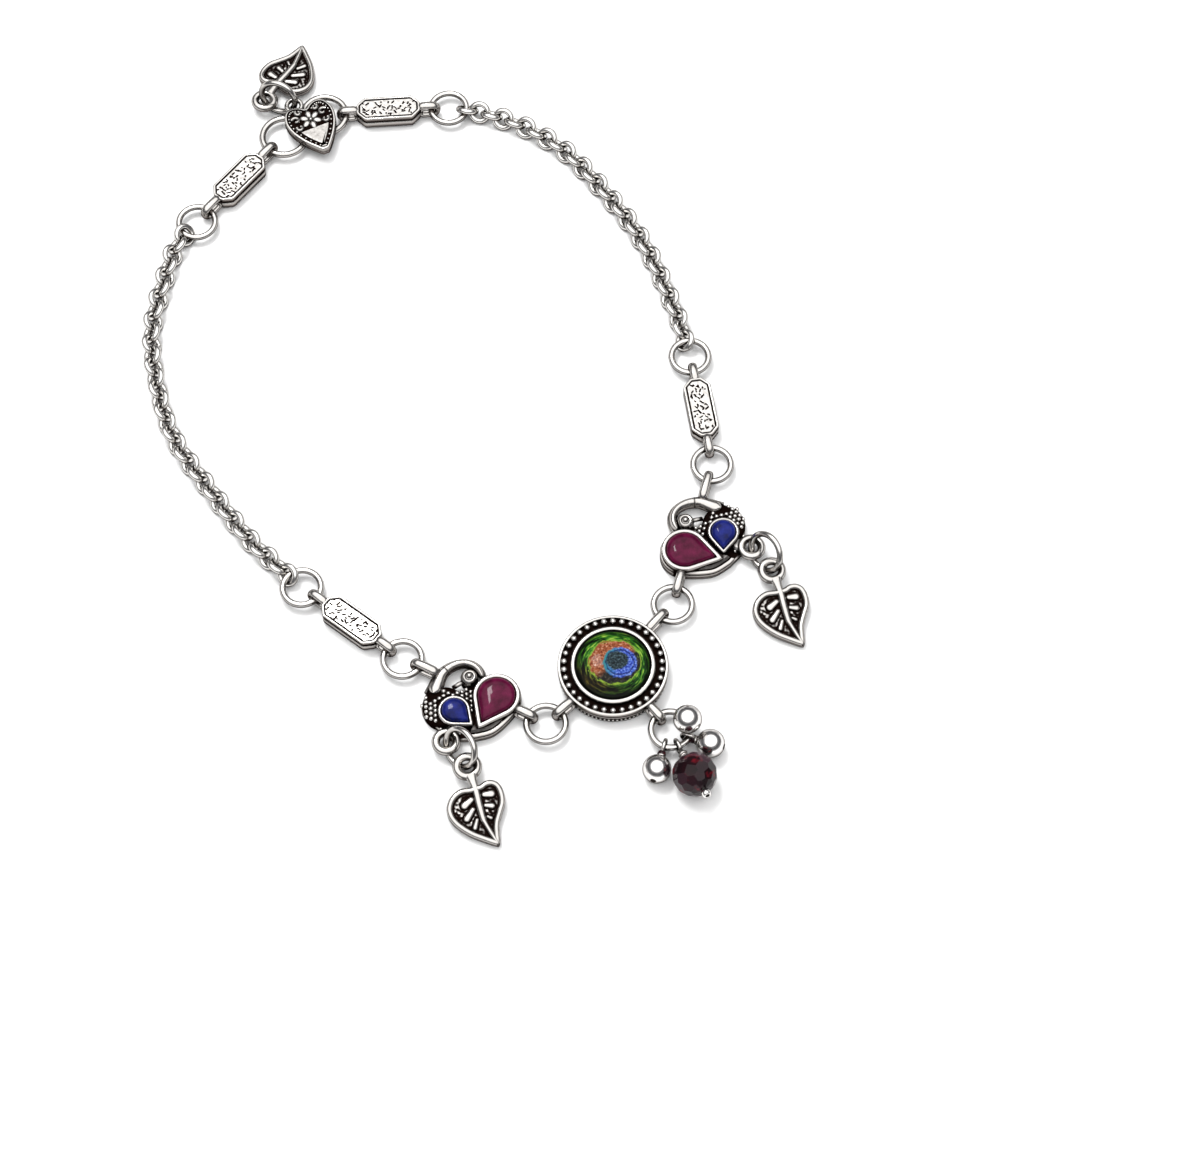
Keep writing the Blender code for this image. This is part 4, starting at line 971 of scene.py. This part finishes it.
def peacock_granules():
    """Rows of granulation on the breast and tail, round the blue stone."""
    grains, _ = shape()
    plate = offset_outline([Vector(share) * PLATE_REACH for share in PLATE_OUTLINE], 0.02 * MM)
    spine, halves = neck_curve()
    cups = [[(pear_place(stone) @ Vector((*point, 0))).xy
             for point in pear_outline(stone, stone["wall"] + 0.2 * MM, 40)] for stone in (BLUE, MAGENTA)]
    middle = Vector(BREAST_PLACE)
    crown = BREAST_HEIGHT * 0.92
    for row in range(-14, 8):
        for column in range(-14, 8):
            spot = Vector(((column + row * 0.5) * GRANULE_STEP, row * GRANULE_STEP * 0.87)) + middle
            if not inside(spot, plate) or any(inside(spot, cup) for cup in cups):
                continue
            if any((spot - point.xy).length < half * 0.95 for point, half in zip(spine, halves)):
                continue
            if (spot - Vector(HEAD_PLACE)).length < HEAD_RADIUS:
                continue
            share = max(0.0, ((spot - middle).length / BREAST_RADIUS - 0.72) / 0.36)
            height = crown - (crown - PLATE_THICK) * min(share ** 1.5, 1.0)
            merge_into(grains, ball(chance_size(GRANULE), 12), at((*spot, height + 0.12 * MM)))
    return grains


def make_peacock(name, chain_ring, medallion_ring, hand):
    """One setting with its stones between two rings; gives the middle of the loop that its leaf hangs on."""
    spot, hole = halfway(flat(RING_PLACES[chain_ring]), flat(RING_PLACES[medallion_ring]))
    spot = spot @ Matrix.Diagonal((1, hand, 1, 1))
    hole -= RING_RADIUS
    body = peacock_body()
    cup_end = MAGENTA["place"][0] + MAGENTA["radius"] + MAGENTA["wall"]
    for end, turn in ((cup_end, 0), (NECK_REACH, math.pi)):
        merge_into(body, standing_loop(end + LOOP_SEAT_OUT, hole), Matrix.Rotation(turn, 4, 'Z'))
    drop = Vector((*DROP_LOOP_PLACE, EYE_HEIGHT))
    merge_into(body, torus(EYE_RADIUS, EYE_WIRE * EYE_DRAWN), at(drop))
    setting = name + "_setting"
    finish_piece(name + "_body", body, CAST, setting, turn=spot)
    finish_piece(name + "_granules", peacock_granules(), GRAIN, setting, angle=80, turn=spot)
    for label, stone, material in (("magenta", MAGENTA, MAGENTA_STONE), ("blue", BLUE, BLUE_STONE)):
        high = stone["height"]
        dome = stacked(pear_outline(stone, -STONE_GAP), (
            [(PEACOCK_FLOOR + STONE_GAP, 0), (high, 0)]
            + section((high, 0), [(0.35, 0.05), (0.62, 0.14), (0.84, 0.28), (0.96, 0.46), (1, 0.6)],
                      (PEAR_RISE, 1))), scaled_outline)
        stone_name = "_".join((name, label, "stone"))
        finish_piece(stone_name + "_cut", dome, material, stone_name, turn=spot @ pear_place(stone))
    return spot @ drop


# Leaf drops

def leaf_point(along, across):
    return Vector((along * LEAF_LENGTH, across * LEAF_WIDTH))


def leaf_field(outline):
    """The sunk field of a leaf: petals in relief with black lines round them, on a mottled ground."""
    rim = kdtree.KDTree(len(outline) * 6)
    for index, point in enumerate(outline):
        for step in range(6):
            rim.insert((*outline[index - 1].lerp(point, step / 6), 0), index * 6 + step)
    rim.balance()
    rib = smooth([leaf_point(along, across) for along, across, _ in LEAF_RIB], 6)
    petals = [(leaf_point(*root), leaf_point(*end), half * MM) for root, end, half in LEAF_VEINS]
    edge = offset_outline(outline, LEAF_FIELD_INSET)
    bm, dark = shape()
    bmesh.ops.create_grid(bm, x_segments=126, y_segments=108, size=0.5)
    bm.transform(at((LEAF_LENGTH * 0.62, -LEAF_WIDTH * 0.1, 0))
                 @ Matrix.Diagonal((LEAF_LENGTH * 0.78, LEAF_WIDTH * 1.02, 1, 1)))
    bmesh.ops.delete(bm, geom=[vert for vert in bm.verts if not inside(vert.co.xy, edge)], context='VERTS')
    for vert in bm.verts:
        spot = vert.co.xy
        worn = noise.noise(Vector((spot.x, spot.y, 0)) / (0.42 * MM))
        beside_rim = rim.find((*spot, 0))[2] - 0.80 * MM
        beside_rib = min((spot - point).length for point in rib) - 0.46 * MM
        level = worn * 0.05 * MM
        stain = max(0.44 + 0.7 * worn, 1.0 - beside_rim / (0.34 * MM), 1.0 - beside_rib / (0.26 * MM))
        for root, end, half in petals:
            share = share_along(spot, root, end)
            gap = (spot - root - (end - root) * share).length - half * (0.78 + 0.22 * share)
            if gap < 0:
                top = 1.0 - (1.0 + gap / half) ** 2
                level, stain = PETAL_RISE * math.sqrt(max(top, 0.0)), 0.0 if top > 0.25 else 0.5
                break
            if gap < PETAL_LINE:
                level, stain = -0.05 * MM, 1.0
        vert.co.z = level
        vert[dark] = max(0.0, min(1.0, stain))
    close_below(bm)
    return bm


def leaf_relief():
    """The leaf: a thick rounded rim and a kinked rib round its sunk field."""
    outline = smooth([leaf_point(*share) for share in LEAF_OUTLINE], 5, closed=True)
    half = LEAF_THICK / 2
    bm = stacked(outline, section((-half, 0), [(0, 2.5, 0.6), (1, 0.8, 0.2), (2.4, 0)])
                 + section((0, 0), [(-1, 0), (0, 0.6, 0.7), (0, 2, 1.0), (0, 4, 1.0)]))
    track = [Vector((*point, half - LEAF_RIM)) for point in offset_outline(outline, LEAF_RIM * 0.92)]
    merge_into(bm, sweep(track, [(LEAF_RIM, LEAF_RIM)] * len(track), 14, closed=True))
    merge_into(bm, leaf_field(outline), at((0, 0, half + LEAF_GROUND)))
    spine = smooth([Vector((*leaf_point(*share[:2]), half - 4 * TENTH)) for share in LEAF_RIB], 8)
    widths = smooth([Vector((width, 0, 0)) for _, _, width in LEAF_RIB], 8)
    merge_into(bm, sweep(spine, [(0.47 * MM * width.x, 0.44 * MM) for width in widths], 14))
    return bm


def make_drop_ring(name, first, second, tilt):
    """A ring through two points, leaning from the floor by the tilt."""
    between = second - first
    side = Vector((-between.y, between.x, 0)).normalized()
    rise = side * math.cos(tilt) + Vector((0, 0, 1)) * math.sin(tilt)
    rise = (rise - between.normalized() * rise.dot(between.normalized())).normalized()
    lift = math.sqrt(RING_RADIUS ** 2 - (between.length / 2) ** 2)
    turn = between.cross(rise).to_track_quat('Z', 'Y').to_matrix().to_4x4()
    make_ring(name, Matrix.Translation((first + second) / 2 + rise * lift) @ turn)


def make_leaf(name, hung_on, ring_name):
    way, reach, degrees, lean = LEAF_PLACES[name]
    spot = hung_on + ray(math.radians(way), reach * MM)
    spot.z = EYE_HEIGHT
    bm = leaf_relief()
    merge_into(bm, torus(EYE_RADIUS, EYE_WIRE * EYE_DRAWN, 48, 16))
    tilt = math.asin((EYE_HEIGHT - LEAF_THICK / 2) / LEAF_LENGTH)
    finish_piece(name + "_relief", bm, CAST, name,
                 turn=at(spot, math.radians(degrees)) @ Matrix.Rotation(tilt, 4, 'Y'))
    make_drop_ring(ring_name, hung_on, spot, math.radians(lean))


# Bead cluster

def hanging_frame(degrees, point, lift, diameter):
    """The frame of a bead's eye on the cluster ring with X towards the bead, and the bead's distance."""
    angle = math.radians(degrees)
    eye = flat(RING_PLACES["ring_cluster"], LINE_HEIGHT) + ray(angle, RING_RADIUS)
    along = flat(point, lift * diameter) - eye
    axis = along.normalized()
    wire = Vector((-math.sin(angle), math.cos(angle), 0))
    across = (wire - axis * wire.dot(axis)).normalized()
    turn = Matrix((axis, across, axis.cross(across))).transposed().to_4x4()
    return Matrix.Translation(eye) @ turn, along.length


def wrapped_pin(reach, diameter):
    """A head pin's eye, its stem into the bead, and the turns of wire that close it."""
    eye_rim = (DROP_EYE_HOLE + DROP_EYE_WIRE) / 2
    bm = torus(eye_rim, DROP_EYE_WIRE, 32, 12)
    bm.transform(ON_EDGE)
    merge_into(bm, rod(eye_rim, reach, PIN_DIAMETER))
    stop = reach - diameter / 2 + TENTH
    turns = max(1, int((stop - eye_rim - WRAP_WIRE) / WRAP_WIRE))
    for index in range(turns):
        spot = at((stop - (index + 0.5) * WRAP_WIRE, 0, 0), 0.12)
        merge_into(bm, torus((PIN_DIAMETER + WRAP_WIRE) / 2, WRAP_WIRE, 24, 10), spot @ ALONG_X)
    return bm


def cut_bead(diameter):
    """A round bead cut flat by rows of facets, each row turned half a facet from the next."""
    chance = random.Random(8)
    bm, dark = shape()
    bmesh.ops.create_cube(bm, size=diameter)
    rows = [(-70, 10, 0.5), (-47, 10, 0.0), (-23, 10, 0.5), (0, 10, 0.0), (23, 10, 0.5), (47, 10, 0.0),
            (70, 10, 0.5), (90, 1, 0.0), (-90, 1, 0.0)]
    for latitude, count, start in rows:
        level = math.radians(latitude)
        for index in range(count):
            out = ray(math.tau * (index + start) / count, math.cos(level), math.sin(level))
            edges = cut_away(bm, out * diameter * 0.485, out, 1e-8)
            if edges:
                bmesh.ops.edgenet_fill(bm, edges=edges)
    bmesh.ops.remove_doubles(bm, verts=bm.verts[:], dist=0.01 * MM)
    bmesh.ops.split_edges(bm, edges=bm.edges[:])
    # Each facet gets a random amount of painted mauve-grey reflection in the patina layer.
    for face in bm.faces:
        tone = chance.choice((0.0, 0.0, 0.1, 0.15, 0.3, 0.6))
        for vert in face.verts:
            vert[dark] = tone
    return bm


def on_pin(distance):
    """Turns a bead's axis along X and moves it out along the pin."""
    return at((distance, 0, 0)) @ ALONG_X


def make_cluster():
    for name, place in BALL_PLACES.items():
        spot, reach = hanging_frame(*place, BALL_DIAMETER)
        seeded = name != "ball_upper"
        body = ball(BALL_DIAMETER, 40)
        body.transform(on_pin(reach))
        dark = body.verts.layers.float["dark"]
        # On each ball with a seed bead, a small cap at the far end takes full patina: a painted dark spot
        # standing in for the shade in the bead's hole.
        for vert in body.verts:
            if seeded and vert.co.x > reach + BALL_DIAMETER / 2 - 0.03 * MM:
                vert[dark] = 1.0
        finish_piece(name + "_polished", body, BALL, name, angle=60, turn=spot)
        finish_piece(name + "_pin", wrapped_pin(reach, BALL_DIAMETER), WIRE, name, angle=60, turn=spot)
        if seeded:
            seed = ball(SEED_DIAMETER, 16)
            seed.transform(on_pin(reach - (BALL_DIAMETER + SEED_DIAMETER * 0.7) / 2))
            finish_piece(name + "_seed", seed, GARNET, name, angle=80, turn=spot)
    spot, reach = hanging_frame(*GARNET_PLACE, GARNET_DIAMETER)
    finish_piece("garnet_facets", cut_bead(GARNET_DIAMETER), GARNET, "garnet_bead", angle=1,
                 turn=spot @ on_pin(reach))
    tip = reach + GARNET_DIAMETER / 2 + PIN_HEAD * 0.4
    pin = wrapped_pin(reach, GARNET_DIAMETER)
    merge_into(pin, rod(reach, tip, PIN_DIAMETER))
    end_tube = turned_solid(section((0, 0), [
        (0, -0.3), (0.3, -0.3), (0.46, -0.1), (0.44, 0.3), (0.34, 0.42), (0.22, 0.40), (0.19, 0.28, 1.0),
        (0, 0.26, 1.0)], (PIN_HEAD, PIN_HEAD)), 24)
    end_tube.transform(on_pin(tip))
    finish_piece("garnet_pin_end", end_tube, BALL, "garnet_pin", angle=60, turn=spot)
    finish_piece("garnet_pin_wire", pin, WIRE, "garnet_pin", angle=60, turn=spot)


# Clasp

CLASP_FRAME = at(flat(CLASP_PLACE), CLASP_TURN)


def hook_wire_point(side, ring):
    """The middle of a clasp loop's wire on the side towards a ring."""
    middle = CLASP_FRAME @ Vector((side * HOOK_SPREAD / 2, 0, LINE_HEIGHT))
    away = flat(RING_PLACES[ring], LINE_HEIGHT) - middle
    return middle + away.normalized() * HOOK_RADIUS


def heart_outline():
    right = [Vector((across * HEART_WIDTH / 2, along * HEART_LENGTH)) for across, along in HEART_HALF]
    left = [Vector((-point.x, point.y)) for point in right[:0:-1]]
    around = right + [Vector((0, -HEART_LENGTH * 0.83))] + left
    middle = Vector((0, HEART_LENGTH * 0.32))
    turn = Matrix.Rotation(HEART_TURN, 2)
    return smooth([turn @ (point + middle) + Vector(HEART_PLACE) for point in around[::-1]], 4, closed=True)


def heart_flower(bm, spot):
    """A six-petal flower with three curls on either side."""
    for petal in range(FLOWER_PETALS):
        leaf = stacked(round_outline((0, 0), 0.42 * MM, 16),
                       section((0, 0), [(-1, 0, 0.8), (0.6, 0), (1.8, 1), (2.2, 2.4)]))
        leaf.transform(Matrix.Diagonal((1.5, 1.0, 1, 1)))
        way = Matrix.Rotation(math.tau * (petal + 0.5) / FLOWER_PETALS, 4, 'Z')
        merge_into(bm, leaf, spot @ way @ at((0.98 * MM, 0, 0)))
    merge_into(bm, ball(0.62 * MM, 20), spot)
    shares = [step / 17 for step in range(18)]
    widths = [((0.29 - 0.08 * share) * MM, 0.32 * MM) for share in shares]
    for side in (-1, 1):
        for out, lift, size, winding in HEART_CURLS:
            curl = []
            for share in shares:
                turn = ray(share * 4.8 * winding + 0.4, size * (1.0 - 0.62 * share))
                curl.append(flat((side * (out + turn.x), lift + turn.y)))
            merge_into(bm, sweep(curl, widths, 10), spot)


def make_clasp():
    """The heart plate on its two wire loops; gives the middle of the eye that its leaf hangs on."""
    bm, _ = shape()
    for side in (-1, 1):
        merge_into(bm, torus(HOOK_RADIUS, HOOK_WIRE, 64, 16), at((side * HOOK_SPREAD / 2, 0, LINE_HEIGHT)))
    low = LINE_HEIGHT + HEART_SEAT
    high = low + HEART_THICK
    outline = heart_outline()
    merge_into(bm, stacked(outline, (
        section((low, 0), [(0, 1.6, 0.5), (1, 0.3), (2, 0), (6, 0), (6.6, 0.8, 0.9), (7.4, 0.8, 0.9), (8, 0)])
        + section((high, 0), [(-2, 0), (-0.7, 0.6), (0, 1.8), (0, 3.2), (-0.6, 3.9, 0.6), (-2.6, 4.2, 1.0),
                              (-2.6, 6, 1.0)]))))
    for point in offset_outline(outline, MILGRAIN_INSET)[::2]:
        merge_into(bm, ball(MILGRAIN, 10), at((*point, high - 2.2 * TENTH)))
    panel = stacked(offset_outline(outline, 1.0 * MM), section((high, 0), [
        (-3, 0, 1.0), (-1.4, 0, 0.4), (-0.8, 0.5, 0.2), (-0.6, 1.6, 0.30), (-0.6, 3, 0.30)]))
    spot = at((*HEART_PLACE, 0), HEART_TURN)
    upper = spot.to_3x3() @ Vector((0, 1, 0))
    bmesh.ops.edgenet_fill(panel, edges=cut_away(panel, spot @ Vector((0, -0.35 * MM, 0)), upper))
    merge_into(bm, panel)
    heart_flower(bm, spot @ at((0, FLOWER_SHIFT, high - 1.9 * TENTH)))
    eye = Vector((*HEART_EYE_PLACE, low + HEART_THICK / 2))
    merge_into(bm, torus((HEART_EYE_OUTER - HEART_EYE_WIRE) / 2, HEART_EYE_WIRE), at(eye))
    finish_piece("clasp_heart", bm, CAST, "clasp_body", turn=CLASP_FRAME)
    return CLASP_FRAME @ eye


# Camera, floor and light

FOCUS = 3100  # the camera's distance to its picture, in the photo's pixels
PHOTO_WIDTH = 1200
FILM_WIDTH = 36
CAMERA_TILT = math.radians(63.494)
CAMERA_SHIFT = (13, 81)  # the medallion's middle, right of and below the picture's, in pixels
AIM_HEIGHT = 2.2 * MM
PIXEL = 0.135 * MM
FLOOR_HALF = 1.5
LOOP_MIDDLE = Vector((-0.02, 0.04, 0))


def make_stage():
    bm, _ = shape()
    bmesh.ops.create_grid(bm, x_segments=1, y_segments=1, size=FLOOR_HALF)
    mesh = bpy.data.meshes.new("floor")
    bm.to_mesh(mesh)
    bm.free()
    mesh.materials.append(paper_material())
    show(bpy.data.objects.new("floor", mesh))


def make_camera():
    data = bpy.data.cameras.new("camera")
    data.sensor_width = FILM_WIDTH
    data.lens = FILM_WIDTH * FOCUS / PHOTO_WIDTH
    data.clip_start = 0.01
    camera = show(bpy.data.objects.new("camera", data))
    camera.rotation_euler = (math.pi / 2 - CAMERA_TILT, 0, 0)
    ahead = Vector((0, math.cos(CAMERA_TILT), -math.sin(CAMERA_TILT)))
    up = Vector((0, math.sin(CAMERA_TILT), math.cos(CAMERA_TILT)))
    ray_to_medallion = ahead + Vector((CAMERA_SHIFT[0] / FOCUS, 0, 0)) - up * (CAMERA_SHIFT[1] / FOCUS)
    camera.location = Vector((0, 0, AIM_HEIGHT)) - ray_to_medallion * FOCUS * PIXEL
    bpy.context.scene.camera = camera


def area_light(name, place, size, power, mirrored):
    """A white panel that looks at the middle of the anklet's loop."""
    data = bpy.data.lights.new(name, 'AREA')
    data.shape = 'RECTANGLE'
    data.size, data.size_y = size
    data.energy = power
    light = show(bpy.data.objects.new(name, data))
    light.visible_glossy = mirrored
    light.location = place
    light.rotation_euler = (LOOP_MIDDLE - Vector(place)).to_track_quat('-Z', 'Y').to_euler()


def make_light():
    world = bpy.data.worlds.new("studio")
    bpy.context.scene.world = world
    world.use_nodes = True
    tree = world.node_tree
    way = node(tree, "TexCoord", {}).outputs["Generated"]
    height = node(tree, "SeparateXYZ", {0: way}).outputs["Z"]
    shade = ramp(tree, height, [(0.0, "7A7A7C"), (0.32, "38383A"), (0.61, "6E6E70"), (0.72, "FFFFFF")])
    fill(tree, tree.nodes["Background"], {"Color": shade, "Strength": 1.85})
    area_light("key", (-0.16, 0.20, 0.50), (0.20, 0.16), 1.3, mirrored=False)
    area_light("window", (-0.10, 0.26, 0.52), (0.07, 0.09), 0.55, mirrored=True)
    bpy.context.scene.view_settings.view_transform = 'Standard'


make_camera()
make_stage()
make_light()
for ring, place in RING_PLACES.items():
    make_ring(ring, at(flat(place, LINE_HEIGHT)))
make_chain("chain_left", "ring_bar_top_left", "ring_chain_left")
make_chain("chain_right", "ring_chain_right", "ring_bar_top_right")
# Each bar has a seed of its own, so that no two faces are chased alike
for seed, (bar, ring, side) in enumerate((("bar_top_left", "ring_bar_top_left", -1),
                                          ("bar_top_right", "ring_bar_top_right", 1)), 3):
    hook = hook_wire_point(side, ring)
    make_bar(bar, ring_wire_point(ring, hook), hook, seed)
for seed, (bar, ring, next_ring) in enumerate((("bar_left", "ring_chain_left", "ring_bar_left"),
                                               ("bar_right", "ring_bar_right", "ring_chain_right")), 7):
    ends = flat(RING_PLACES[ring]), flat(RING_PLACES[next_ring])
    make_bar(bar, ring_wire_point(ring, ends[1]), ring_wire_point(next_ring, ends[0]), seed)
make_medallion()
left_drop = make_peacock("peacock_left", "ring_bar_left", "ring_medallion_left", 1)
right_drop = make_peacock("peacock_right", "ring_bar_right", "ring_medallion_right", -1)
clasp_drop = make_clasp()
make_leaf("leaf_left", left_drop, "ring_leaf_left")
make_leaf("leaf_right", right_drop, "ring_leaf_right")
make_leaf("leaf_clasp", clasp_drop, "ring_clasp")
make_cluster()
